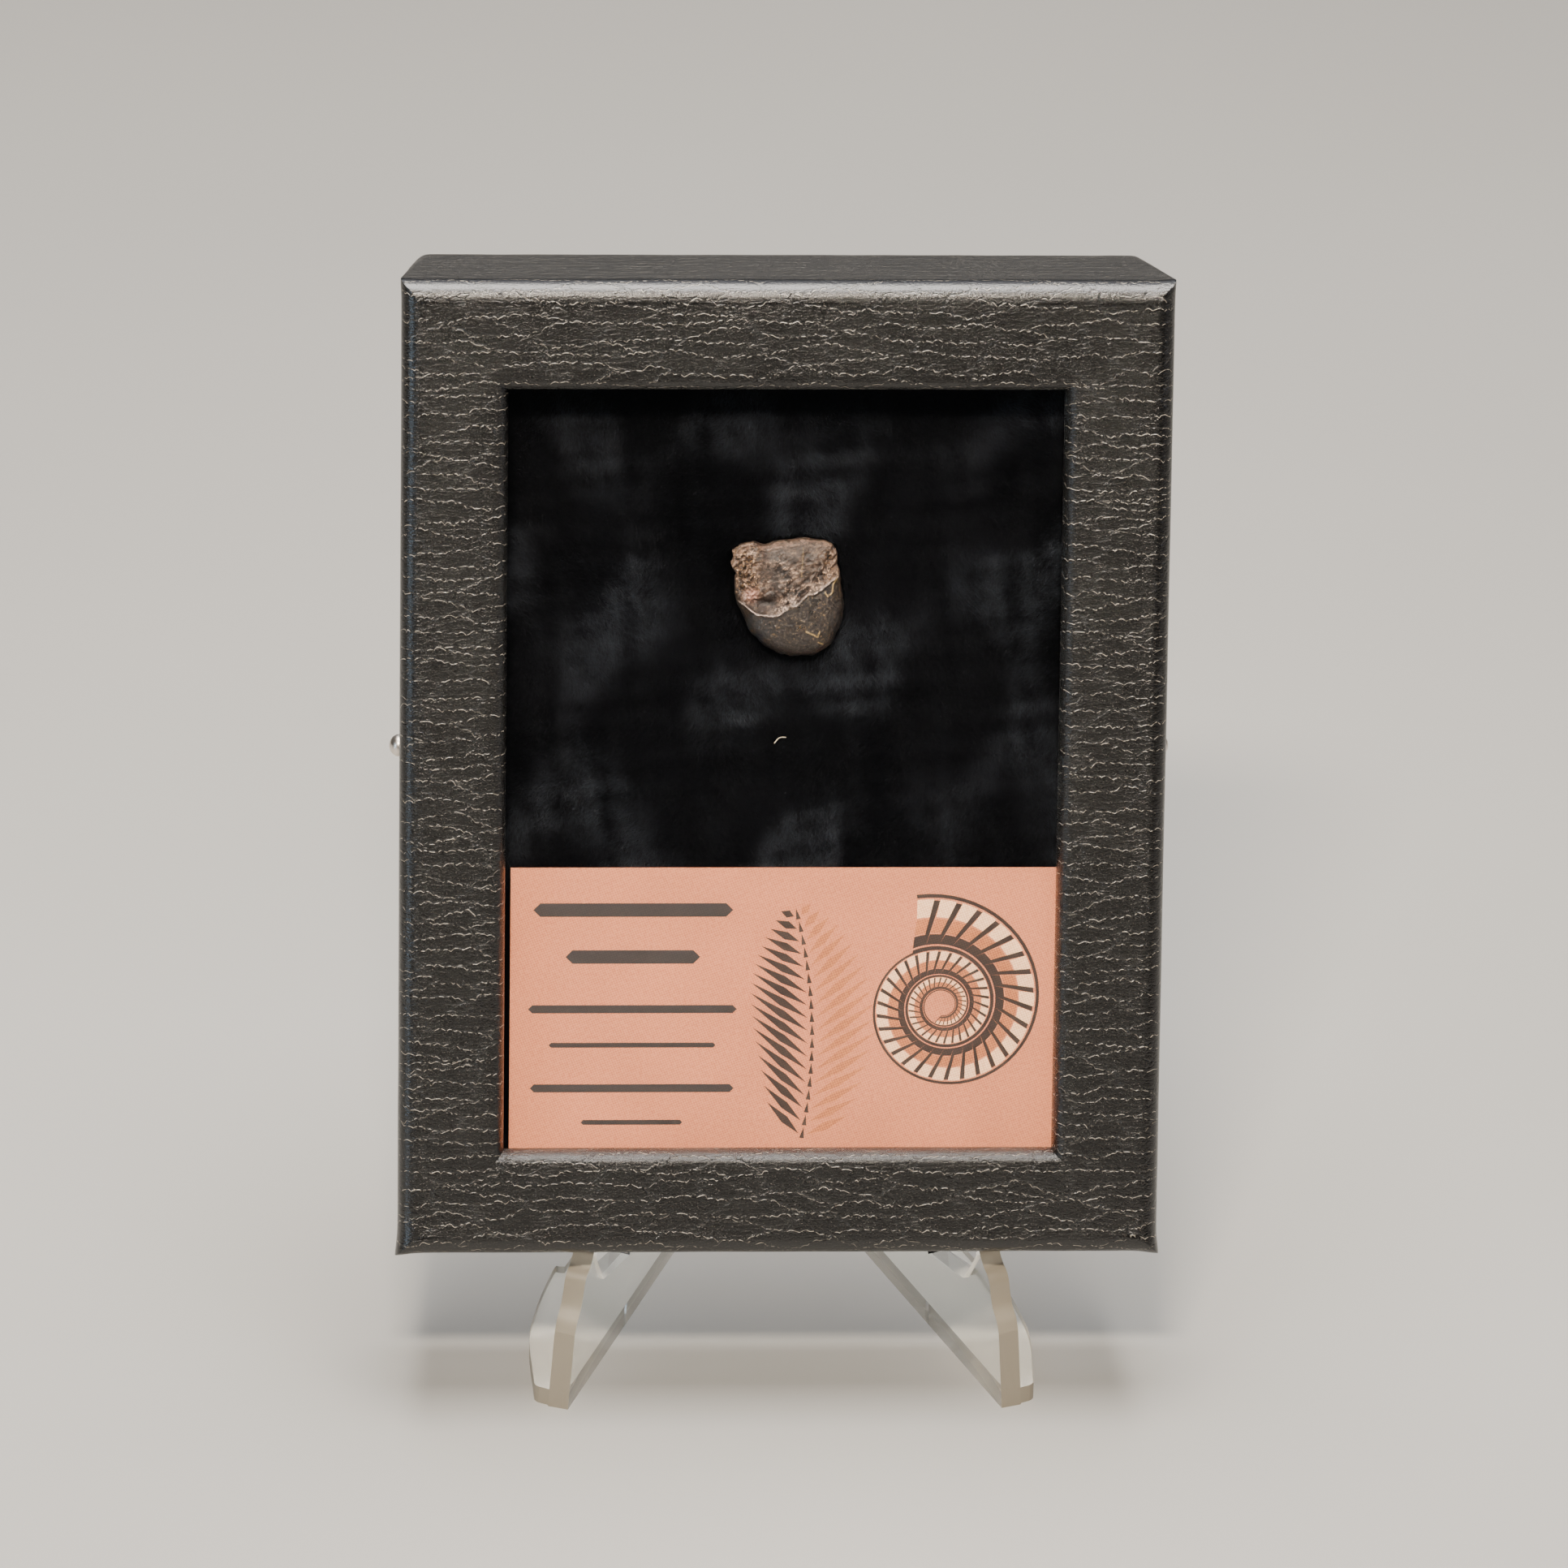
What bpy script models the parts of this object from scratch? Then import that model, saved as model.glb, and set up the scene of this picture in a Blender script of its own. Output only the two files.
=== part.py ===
"""A small fossil tooth in a glazed display case that leans on a clear stand with two arms.

Units are metres and +Z is up. The front of the case looks along -Y. The origin is on the
surface that the stand rests on, at the middle of the object's box.

The case is modelled upright in a frame of its own: X to the right, Y from the front face
to the back, Z up the face, with its origin at the middle of the lower front edge. An empty
leans that frame back. The stand has a frame of its own too, at its toes.
"""
import math

import bmesh
import bpy
from mathutils import Matrix, Vector

MM = 0.001
GAP = 0.3 * MM
OVERCUT = 1.0 * MM
FAR = 120.0 * MM

# The case, measured over the covered lid.
CASE_WIDTH = 82.5 * MM
CASE_HEIGHT = 107.0 * MM
CASE_DEPTH = 19.0 * MM
CASE_TILT = math.radians(13.4)
CASE_EDGE_HEIGHT = 18.8 * MM

# The lid: a front panel with a window, and four walls that draw in a little to the back.
FRONT_ROUNDING = 1.8 * MM
SIDE_DRAW = 1.7 * MM
END_DRAW = 0.6 * MM
PANEL_THICKNESS = 2.4 * MM
LID_WALL = 1.5 * MM
WINDOW_WIDTH = 59.0 * MM
BOTTOM_RAIL = 11.0 * MM
TOP_RAIL = 11.9 * MM
WINDOW_ROUNDING = 0.9 * MM
ROUNDING_STEPS = 4
ROUND_SIDES = 24
HOLE_SIDES = 16

# What lies behind the panel, from the front to the back.
GLASS_THICKNESS = 1.6 * MM
CARD_THICKNESS = 0.4 * MM
TRAY_WALL = 1.3 * MM
TRAY_FLOOR = 1.5 * MM

# The label card, seen in the lower part of the window.
CARD_LEFT = -28.7 * MM
CARD_WIDTH = 60.0 * MM
CARD_BOTTOM = 10.4 * MM
CARD_HEIGHT = 31.8 * MM

# The plush lining over its pad.
PLUSH_WIDTH = 70.0 * MM
PLUSH_HEIGHT = 96.0 * MM
PLUSH_FACE = 6.5 * MM
PLUSH_STEP = 4.0 * MM

# The pins that hold the lid on the tray, half-way up its sides.
PIN_DEPTH = 9.5 * MM
PIN_HEIGHT = 54.5 * MM
PIN_HEAD_RADIUS = 1.2 * MM
PIN_HEAD_HEIGHT = 1.1 * MM
PIN_SHANK_RADIUS = 0.4 * MM
PIN_LENGTH = 5.0 * MM
PIN_POINT = 1.0 * MM

# The tooth: its middle in the case's frame, and how far it bulges to each side of it.
TOOTH_CENTRE = Vector((0.5, 8.0, 71.5)) * MM
TOOTH_FRONT = 3.0 * MM
TOOTH_BACK = 3.3 * MM
FACET_DEPTH = 0.9 * MM
FACET_RUN = 1.7 * MM
TIP_THINNING = 0.02

# The stand. Each arm is an upright plate with a foot flange on its outer side.
STAND_OFFSET = 1.2 * MM
TOE_LEAD = 0.14 * MM
TOE_HALF_SPREAD = 23.6 * MM
ARM_ANGLE = math.radians(20.4)
ARM_LEAN = math.radians(3.6)
PLATE_THICKNESS = 2.3 * MM
FOOT_THICKNESS = 2.0 * MM
UPRIGHT_TOP = 76.0 * MM
CORNER_RADIUS = 3.0 * MM
KNUCKLE_RADIUS = 2.5 * MM
KNUCKLE_SPANS = ((8.0 * MM, 26.0 * MM), (27.0 * MM, 51.0 * MM), (52.0 * MM, 70.0 * MM))
STUB_RADIUS = 1.0 * MM
STUB_LENGTH = 1.3 * MM

# The tooth's outline seen from the front, in mm from its middle, anticlockwise.
TOOTH_OUTLINE = (
    (6.1, -1.3), (5.8, 0.8), (5.4, 3.3), (5.2, 5.0), (4.6, 5.7), (2.3, 6.2), (-0.2, 6.0),
    (-2.2, 5.6), (-4.3, 5.7), (-5.7, 5.0), (-6.0, 3.7), (-5.6, 2.3), (-5.6, 0.3),
    (-4.7, -2.2), (-3.5, -4.4), (-1.9, -5.8), (-0.4, -6.4), (1.3, -6.6), (3.2, -6.4),
    (4.6, -5.4), (5.7, -3.4),
)
# The ridge under the worn facet, in mm from the tooth's middle.
TOOTH_RIDGE = ((-6.2, 0.7), (-5.3, -0.4), (-3.1, -1.6), (-1.5, -1.7), (0.6, -0.6), (2.2, 0.7), (5.6, 2.4))

# The foot flange's outer edge, in mm: distance from the toe, and from the inner face.
FOOT_EDGE = (
    (0.4, 3.5), (0.7, 4.0), (1.2, 4.3), (3.2, 5.1), (8.0, 7.1), (11.6, 8.3), (14.8, 8.95),
    (19.5, 9.7), (25.8, 10.3), (26.4, 10.0), (26.6, 9.3), (56.0, 9.3), (60.5, 6.5), (62.0, 3.0),
)
# The arm's hook at the toe, in mm: distance behind the toe, and height.
HOOK_EDGE = (
    (0.0, -0.5), (0.0, 9.2), (0.4, 10.5), (1.3, 11.7), (1.7, 13.0), (1.9, 14.4), (2.4, 15.2),
    (3.2, 15.7), (3.8, 16.4), (4.1, 17.0), (4.5, 17.3), (4.9, 17.1), (5.1, 16.1), (8.6, 11.4),
)
LEDGE_HEIGHT = 9.3 * MM


def named_collection(name):
    """Return a new collection that is linked to the scene."""
    collection = bpy.data.collections.new(name)
    bpy.context.scene.collection.children.link(collection)
    return collection


def finish_material(name, colour, roughness, metallic=0.0, transmission=0.0, ior=1.5):
    """Return a Principled material."""
    material = bpy.data.materials.new(name)
    material.use_nodes = True
    shader = material.node_tree.nodes["Principled BSDF"]
    shader.inputs["Base Color"].default_value = (*colour, 1.0)
    shader.inputs["Roughness"].default_value = roughness
    shader.inputs["Metallic"].default_value = metallic
    shader.inputs["Transmission Weight"].default_value = transmission
    shader.inputs["IOR"].default_value = ior
    return material


def mesh_object(name, bm, collection, parent=None, material=None):
    """Make an object from a bmesh, with its faces turned out and flat faces kept sharp."""
    bmesh.ops.recalc_face_normals(bm, faces=bm.faces)
    mesh = bpy.data.meshes.new(name)
    bm.to_mesh(mesh)
    bm.free()
    mesh.shade_smooth()
    mesh.set_sharp_from_angle(angle=math.radians(35))
    obj = bpy.data.objects.new(name, mesh)
    collection.objects.link(obj)
    obj.parent = parent
    if material:
        mesh.materials.append(material)
    return obj


def cut(obj, cutter, operation="DIFFERENCE"):
    """Cut an object by another one, or join the two."""
    modifier = obj.modifiers.new(f"{operation.lower()}_{cutter.name}", "BOOLEAN")
    modifier.operation = operation
    modifier.object = cutter
    modifier.solver = "EXACT"
    return obj


def as_cutter(obj):
    """Hide an object that only shapes others."""
    obj.hide_render = True
    obj.display_type = "WIRE"
    return obj


def box_bmesh(low, high):
    """Return a box between two corners."""
    low, high = Vector(low), Vector(high)
    bm = bmesh.new()
    bmesh.ops.create_cube(bm, size=1.0)
    bmesh.ops.scale(bm, vec=high - low, verts=bm.verts)
    bmesh.ops.translate(bm, vec=(low + high) / 2, verts=bm.verts)
    return bm


def cylinder_bmesh(radius, low, high, segments=ROUND_SIDES):
    """Return a cylinder along Z between two heights."""
    bm = bmesh.new()
    bmesh.ops.create_cone(
        bm, cap_ends=True, segments=segments, radius1=radius, radius2=radius, depth=high - low
    )
    bmesh.ops.translate(bm, vec=(0, 0, (low + high) / 2), verts=bm.verts)
    return bm


def outline_plate(name, points, thickness, placement, collection):
    """Extrude a flat outline, centred on its plane, and place it as a mesh."""
    curve = bpy.data.curves.new(name, "CURVE")
    curve.dimensions = "2D"
    curve.fill_mode = "BOTH"
    curve.extrude = thickness / 2
    spline = curve.splines.new("POLY")
    spline.points.add(len(points) - 1)
    for point, (first, second) in zip(spline.points, points):
        point.co = (first, second, 0.0, 1.0)
    spline.use_cyclic_u = True
    outline = bpy.data.objects.new(name + "_outline", curve)
    collection.objects.link(outline)
    bpy.context.view_layer.update()
    evaluated = outline.evaluated_get(bpy.context.evaluated_depsgraph_get())
    mesh = bpy.data.meshes.new_from_object(evaluated)
    bm = bmesh.new()
    bm.from_mesh(mesh)
    bmesh.ops.remove_doubles(bm, verts=bm.verts, dist=0.00001)
    bmesh.ops.transform(bm, matrix=placement, verts=bm.verts)
    bpy.data.objects.remove(outline)
    return mesh_object(name, bm, collection)


def arc(centre, radius, start, end, steps):
    """Points along an arc, with the angles in degrees."""
    points = []
    for step in range(steps + 1):
        angle = math.radians(start + (end - start) * step / steps)
        points.append((centre[0] + radius * math.cos(angle), centre[1] + radius * math.sin(angle)))
    return points


def smoothstep(value):
    """Rise smoothly from 0 to 1 as the value does."""
    value = min(1.0, max(0.0, value))
    return value * value * (3.0 - 2.0 * value)


def between(pairs, where):
    """Read a curve through (place, value) pairs by easing from one to the next."""
    if where <= pairs[0][0]:
        return pairs[0][1]
    for (left, start), (right, end) in zip(pairs, pairs[1:]):
        if where <= right:
            return start + (end - start) * smoothstep((where - left) / (right - left))
    return pairs[-1][1]


# The depths at which the layers of the case begin.
GLASS_FRONT = PANEL_THICKNESS + GAP
GLASS_BACK = GLASS_FRONT + GLASS_THICKNESS
TRAY_FRONT = GLASS_BACK + GAP
CARD_BACK = TRAY_FRONT + CARD_THICKNESS
FLOOR_FRONT = CASE_DEPTH - TRAY_FLOOR

# Half-sizes of the lid's pocket, of what fits in it, and of the tray's inside.
POCKET_HALF_WIDTH = CASE_WIDTH / 2 - SIDE_DRAW - LID_WALL
POCKET_HALF_HEIGHT = CASE_HEIGHT / 2 - END_DRAW - LID_WALL
INSERT_HALF_WIDTH = POCKET_HALF_WIDTH - GAP
INSERT_HALF_HEIGHT = POCKET_HALF_HEIGHT - GAP
MIDDLE = CASE_HEIGHT / 2


def lid(collection, cutters, parent, material):
    """The covered lid: rounded front edges, walls that draw in, a pocket and the window."""
    bm = box_bmesh((-CASE_WIDTH / 2, 0, 0), (CASE_WIDTH / 2, CASE_DEPTH, CASE_HEIGHT))
    for vertex in bm.verts:
        if vertex.co.y > CASE_DEPTH / 2:
            vertex.co.x -= math.copysign(SIDE_DRAW, vertex.co.x)
            vertex.co.z -= math.copysign(END_DRAW, vertex.co.z - MIDDLE)
    front_edges = [e for e in bm.edges if all(v.co.y < CASE_DEPTH / 2 for v in e.verts)]
    bmesh.ops.bevel(
        bm, geom=front_edges, offset=FRONT_ROUNDING, segments=ROUNDING_STEPS, profile=0.5,
        affect="EDGES", clamp_overlap=True,
    )
    shell = mesh_object("lid", bm, collection, parent, material)

    pocket = box_bmesh(
        (-POCKET_HALF_WIDTH, PANEL_THICKNESS, MIDDLE - POCKET_HALF_HEIGHT),
        (POCKET_HALF_WIDTH, CASE_DEPTH + OVERCUT, MIDDLE + POCKET_HALF_HEIGHT),
    )
    cut(shell, as_cutter(mesh_object("lid_pocket", pocket, cutters, parent)))
    cut(shell, window_cutter(cutters, parent))
    return shell


def window_cutter(cutters, parent):
    """A block as large as the window that flares at the front like a rounded edge."""
    low = Vector((-WINDOW_WIDTH / 2, WINDOW_ROUNDING, BOTTOM_RAIL))
    high = Vector((WINDOW_WIDTH / 2, PANEL_THICKNESS + OVERCUT, CASE_HEIGHT - TOP_RAIL))
    bm = box_bmesh(low, high)
    centre = (low + high) / 2
    front = next(f for f in bm.faces if f.normal.y < -0.9)
    reach = 0.0
    for step in range(1, ROUNDING_STEPS + 1):
        angle = math.pi / 2 * step / ROUNDING_STEPS
        grown = bmesh.ops.extrude_face_region(bm, geom=[front])["geom"]
        bmesh.ops.delete(bm, geom=[front], context="FACES_ONLY")
        front = next(item for item in grown if isinstance(item, bmesh.types.BMFace))
        flare = WINDOW_ROUNDING * (1.0 - math.cos(angle))
        for vertex in front.verts:
            vertex.co.y = WINDOW_ROUNDING * (1.0 - math.sin(angle))
            vertex.co.x += math.copysign(flare - reach, vertex.co.x - centre.x)
            vertex.co.z += math.copysign(flare - reach, vertex.co.z - centre.z)
        reach = flare
    grown = bmesh.ops.extrude_face_region(bm, geom=[front])["geom"]
    bmesh.ops.delete(bm, geom=[front], context="FACES_ONLY")
    outer = [item for item in grown if isinstance(item, bmesh.types.BMVert)]
    bmesh.ops.translate(bm, vec=(0, -OVERCUT, 0), verts=outer)
    return as_cutter(mesh_object("lid_window", bm, cutters, parent))


def glass_pane(collection, parent, material):
    """The clear pane, held between the lid's panel and the tray."""
    bm = box_bmesh(
        (-INSERT_HALF_WIDTH, GLASS_FRONT, MIDDLE - INSERT_HALF_HEIGHT),
        (INSERT_HALF_WIDTH, GLASS_BACK, MIDDLE + INSERT_HALF_HEIGHT),
    )
    return mesh_object("glass_pane", bm, collection, parent, material)


def base_tray(collection, cutters, parent, material):
    """The tray that the lid slides over, open to the front."""
    bm = box_bmesh(
        (-INSERT_HALF_WIDTH, TRAY_FRONT, MIDDLE - INSERT_HALF_HEIGHT),
        (INSERT_HALF_WIDTH, CASE_DEPTH, MIDDLE + INSERT_HALF_HEIGHT),
    )
    tray = mesh_object("base_tray", bm, collection, parent, material)
    inside = box_bmesh(
        (-INSERT_HALF_WIDTH + TRAY_WALL, 0, MIDDLE - INSERT_HALF_HEIGHT + TRAY_WALL),
        (INSERT_HALF_WIDTH - TRAY_WALL, FLOOR_FRONT, MIDDLE + INSERT_HALF_HEIGHT - TRAY_WALL),
    )
    return cut(tray, as_cutter(mesh_object("tray_inside", inside, cutters, parent)))


def label_card(collection, parent, material):
    """The card that lies between the pane and the lining."""
    bm = box_bmesh(
        (CARD_LEFT, TRAY_FRONT, CARD_BOTTOM),
        (CARD_LEFT + CARD_WIDTH, CARD_BACK, CARD_BOTTOM + CARD_HEIGHT),
    )
    return mesh_object("label_card", bm, collection, parent, material)


def plush_depth(across, height):
    """Depth of the lining's face: soft creases beside the tooth, level under the card."""
    x, z = across / MM, height / MM
    left_crease = 0.8 * math.exp(-(((z - 76.0 + 0.12 * x) / 3.5) ** 2)) * smoothstep(-x / 20 + 0.2)
    right_crease = 0.9 * math.exp(-(((z - 71.5 + 0.45 * (x - 14)) / 3.5) ** 2)) * smoothstep(x / 14)
    swell = 0.35 * math.cos(x / 9.0) * math.cos((z - 60.0) / 13.0)
    free = smoothstep((z - 43.0) / 8.0)
    edge = smoothstep((abs(x) - 29.0) / 6.0) + smoothstep((abs(z - 53.5) - 43.0) / 5.0)
    return PLUSH_FACE + (left_crease + right_crease + swell) * free * MM + 1.2 * MM * edge


def plush_lining(collection, cutters, parent, material):
    """The soft lining: a wavy face with the bed of the tooth pressed into it."""
    bm = bmesh.new()
    columns = round(PLUSH_WIDTH / PLUSH_STEP)
    rows = round(PLUSH_HEIGHT / PLUSH_STEP)
    bmesh.ops.create_grid(bm, x_segments=columns, y_segments=rows, size=0.5)
    for vertex in bm.verts:
        across = vertex.co.x * PLUSH_WIDTH
        height = MIDDLE + vertex.co.y * PLUSH_HEIGHT
        vertex.co = (across, plush_depth(across, height), height)
    rim = [edge for edge in bm.edges if edge.is_boundary]
    grown = bmesh.ops.extrude_edge_only(bm, edges=rim)["geom"]
    for item in grown:
        if isinstance(item, bmesh.types.BMVert):
            item.co.y = FLOOR_FRONT - GAP
    back_rim = [item for item in grown if isinstance(item, bmesh.types.BMEdge)]
    bmesh.ops.contextual_create(bm, geom=back_rim)
    lining = mesh_object("plush_lining", bm, collection, parent, material)
    bed = tooth_bmesh(clearance=0.5 * MM, segments=32, rings=16)
    return cut(lining, as_cutter(mesh_object("tooth_bed", bed, cutters, parent)))


def outline_radius(angle):
    """Distance from the tooth's middle to its outline, at an angle seen from the front."""
    polar = sorted((math.atan2(z, x), math.hypot(x, z) * MM) for x, z in TOOTH_OUTLINE)
    first, last = polar[0], polar[-1]
    polar.insert(0, (last[0] - 2 * math.pi, last[1]))
    polar.append((first[0] + 2 * math.pi, first[1]))
    return between(polar, angle)


def tooth_bmesh(clearance=0.0, segments=52, rings=26):
    """The tooth: a blunt dome in the outline, with the worn facet scooped out above its ridge."""
    bm = bmesh.new()
    bmesh.ops.create_uvsphere(bm, u_segments=segments, v_segments=rings, radius=1.0)
    for vertex in bm.verts:
        across, up, towards = vertex.co
        share = min(1.0, math.hypot(across, up))
        angle = math.atan2(up, across)
        radius = (outline_radius(angle) + clearance) * share
        x, z = radius * math.cos(angle), radius * math.sin(angle)
        if towards > 0:
            above = z - between(TOOTH_RIDGE, x / MM) * MM
            scoop = FACET_DEPTH * smoothstep(above / FACET_RUN) * (1.0 - share ** 8)
            bulge = (TOOTH_FRONT + clearance) * math.sqrt(1.0 - share ** 5)
            thinning = 1.0 + TIP_THINNING * min(0.0, z / MM)
            y = -bulge * thinning + scoop * (clearance == 0.0)
        else:
            y = (TOOTH_BACK + clearance) * math.sqrt(1.0 - share ** 3)
        vertex.co = TOOTH_CENTRE + Vector((x, y, z))
    return bm


def tooth(collection, parent, material):
    """The fossil tooth."""
    return mesh_object("tooth", tooth_bmesh(), collection, parent, material)


def side_pin(name, side, shell, tray, collection, cutters, parent, material):
    """A domed pin through the walls of lid and tray, in a hole with a little play."""
    wall = CASE_WIDTH / 2 - SIDE_DRAW * PIN_DEPTH / CASE_DEPTH
    play = PIN_SHANK_RADIUS + GAP
    head_base = 1.5 * GAP
    dome = arc((0, head_base), 1.0, 90, 0, 6)
    profile = [(x * PIN_HEAD_RADIUS, head_base + (z - head_base) * PIN_HEAD_HEIGHT) for x, z in dome]
    profile += [(PIN_SHANK_RADIUS, head_base), (PIN_SHANK_RADIUS, PIN_POINT - PIN_LENGTH)]
    profile += [(0, -PIN_LENGTH)]
    bm = bmesh.new()
    points = [bm.verts.new((x, 0, z)) for x, z in profile]
    for start, end in zip(points, points[1:]):
        bm.edges.new((start, end))
    mesh = bpy.data.meshes.new(name)
    bm.to_mesh(mesh)
    bm.free()
    mesh.materials.append(material)
    pin = bpy.data.objects.new(name, mesh)
    collection.objects.link(pin)
    pin.parent = parent
    pin.location = (side * wall, PIN_DEPTH, PIN_HEIGHT)
    pin.rotation_euler = (0, side * math.pi / 2, 0)
    turn = pin.modifiers.new("turn", "SCREW")
    turn.steps = ROUND_SIDES
    turn.render_steps = ROUND_SIDES
    turn.use_merge_vertices = True
    turn.merge_threshold = 0.00001

    bore = cylinder_bmesh(play, -PIN_LENGTH - OVERCUT, OVERCUT, HOLE_SIDES)
    hole = as_cutter(mesh_object(name + "_hole", bore, cutters, parent))
    hole.location = pin.location
    hole.rotation_euler = pin.rotation_euler
    cut(shell, hole)
    cut(tray, hole)
    return pin


def arm_point(behind, height):
    """Turn (distance behind the toe, height) on an arm's inner face into plate coordinates."""
    up = height / math.cos(ARM_LEAN)
    along = (behind + up * math.sin(ARM_LEAN) * math.sin(ARM_ANGLE)) / math.cos(ARM_ANGLE)
    return along, up


def arm_frame(side, leaning):
    """Placement of an arm's plate, or of its foot: first axis along the arm, second across."""
    along = Vector((-side * math.sin(ARM_ANGLE), math.cos(ARM_ANGLE), 0))
    outward = Vector((side * math.cos(ARM_ANGLE), math.sin(ARM_ANGLE), 0))
    up = Vector((0, 0, 1))
    if leaning:
        second = up * math.cos(ARM_LEAN) - outward * math.sin(ARM_LEAN)
        third = outward * math.cos(ARM_LEAN) + up * math.sin(ARM_LEAN)
        middle = third * PLATE_THICKNESS / 2
    else:
        second, third = outward, up
        middle = up * FOOT_THICKNESS / 2
    toe = Vector((side * TOE_HALF_SPREAD, 0, 0)) + middle
    return Matrix.Translation(toe) @ Matrix((along, second, third)).transposed().to_4x4()


def spine_along(up):
    """Where the middle of an arm's plate meets the middle plane of the stand."""
    inward = up * math.sin(ARM_LEAN) * math.cos(ARM_ANGLE)
    half_plate = PLATE_THICKNESS / 2 * math.cos(ARM_LEAN) * math.cos(ARM_ANGLE)
    return (TOE_HALF_SPREAD + half_plate - inward) / math.sin(ARM_ANGLE)


def spine_point(height):
    """A point of the hinge line, in the stand's frame."""
    up = height / math.cos(ARM_LEAN)
    behind = spine_along(up) * math.cos(ARM_ANGLE) - up * math.sin(ARM_LEAN) * math.sin(ARM_ANGLE)
    return Vector((0, behind + PLATE_THICKNESS / 2 * math.sin(ARM_ANGLE), height))


def upright_edge():
    """The arm's edge behind the case, from the ledge up to its rounded top and the spine."""
    back = Vector((TOE_LEAD, CASE_EDGE_HEIGHT))
    back += Vector((math.cos(CASE_TILT), -math.sin(CASE_TILT))) * (CASE_DEPTH + GAP)
    run = math.tan(CASE_TILT)

    def edge_at(height):
        return back.x + (height - back.y) * run, height

    tilt = math.degrees(CASE_TILT)
    top_x, top_z = edge_at(UPRIGHT_TOP - CORNER_RADIUS)
    centre = (top_x + CORNER_RADIUS / math.cos(CASE_TILT), top_z)
    corner = arc(centre, CORNER_RADIUS, 180 - tilt, 90, 6)
    points = [edge_at(LEDGE_HEIGHT)] + corner
    return [arm_point(*point) for point in points]


def stand_arm(name, side, own_spans, other_spans, collection, cutters, parent, material):
    """One arm: plate with hook, ledge and upright, foot flange, and its knuckles at the spine."""
    outline = [arm_point(y * MM, z * MM) for y, z in HOOK_EDGE] + upright_edge()
    top_up = outline[-1][1]
    low_up = outline[0][1]
    outline += [(spine_along(top_up), top_up), (spine_along(low_up), low_up)]
    arm = outline_plate(name, outline, PLATE_THICKNESS, arm_frame(side, True), collection)
    arm.parent = parent
    arm.data.materials.append(material)

    inside = PLATE_THICKNESS / 4
    edge = [(s * MM, w * MM) for s, w in FOOT_EDGE]
    edge = [(0.0, inside)] + edge + [(edge[-1][0], inside)]
    foot = outline_plate(name + "_foot", edge, FOOT_THICKNESS, arm_frame(side, False), cutters)
    foot.parent = parent
    cut(arm, as_cutter(foot), "UNION")

    floor = box_bmesh((-FAR, -FAR, -FAR), (FAR, FAR, 0))
    cut(arm, as_cutter(mesh_object(name + "_floor", floor, cutters, parent)))
    far_side = box_bmesh((-FAR, -FAR, -FAR), (GAP / 2, FAR, FAR))
    bmesh.ops.scale(far_side, vec=(side, 1, 1), verts=far_side.verts)
    cut(arm, as_cutter(mesh_object(name + "_far_side", far_side, cutters, parent)))

    for index, span in enumerate(other_spans):
        clear = (span[0] - GAP, span[1] + GAP)
        relief = spine_cylinder(f"{name}_relief_{index}", KNUCKLE_RADIUS + GAP, clear, cutters, parent)
        cut(arm, relief)
    for index, span in enumerate(own_spans):
        cut(arm, spine_cylinder(f"{name}_knuckle_{index}", KNUCKLE_RADIUS, span, cutters, parent), "UNION")
    return arm


def spine_cylinder(name, radius, span, cutters, parent):
    """A cylinder on the hinge line between two distances along it."""
    foot_point, head_point = spine_point(0), spine_point(UPRIGHT_TOP)
    axis = head_point - foot_point
    cylinder = as_cutter(mesh_object(name, cylinder_bmesh(radius, *span), cutters, parent))
    cylinder.location = foot_point
    cylinder.rotation_euler = (math.atan2(-axis.y, axis.z), 0, 0)
    return cylinder


def stand(collection, cutters, parent, material):
    """Both arms, with the left one's knuckle between the right one's and snapped into them."""
    low, middle, high = KNUCKLE_SPANS
    left = stand_arm("stand_left_arm", -1, [middle], [low, high], collection, cutters, parent, material)
    right = stand_arm("stand_right_arm", 1, [low, high], [middle], collection, cutters, parent, material)
    stubs = (middle[0] - STUB_LENGTH, middle[1] + STUB_LENGTH)
    sockets = (stubs[0] - GAP, stubs[1] + GAP)
    cut(left, spine_cylinder("stub", STUB_RADIUS, stubs, cutters, parent), "UNION")
    cut(right, spine_cylinder("socket", STUB_RADIUS + GAP, sockets, cutters, parent))


def half_depth():
    """Half of the object's depth, from the toes to the back of the lowest knuckle."""
    foot_point, head_point = spine_point(0), spine_point(UPRIGHT_TOP)
    lean = math.atan2(foot_point.y - head_point.y, head_point.z)
    back = foot_point.y - KNUCKLE_SPANS[0][0] * math.sin(lean) + KNUCKLE_RADIUS * math.cos(lean)
    return back / 2


def frame_empty(name, location, tilt, collection):
    """An empty that carries a group of pieces."""
    empty = bpy.data.objects.new(name, None)
    collection.objects.link(empty)
    empty.location = location
    empty.rotation_euler = (-tilt, 0, 0)
    return empty


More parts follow.
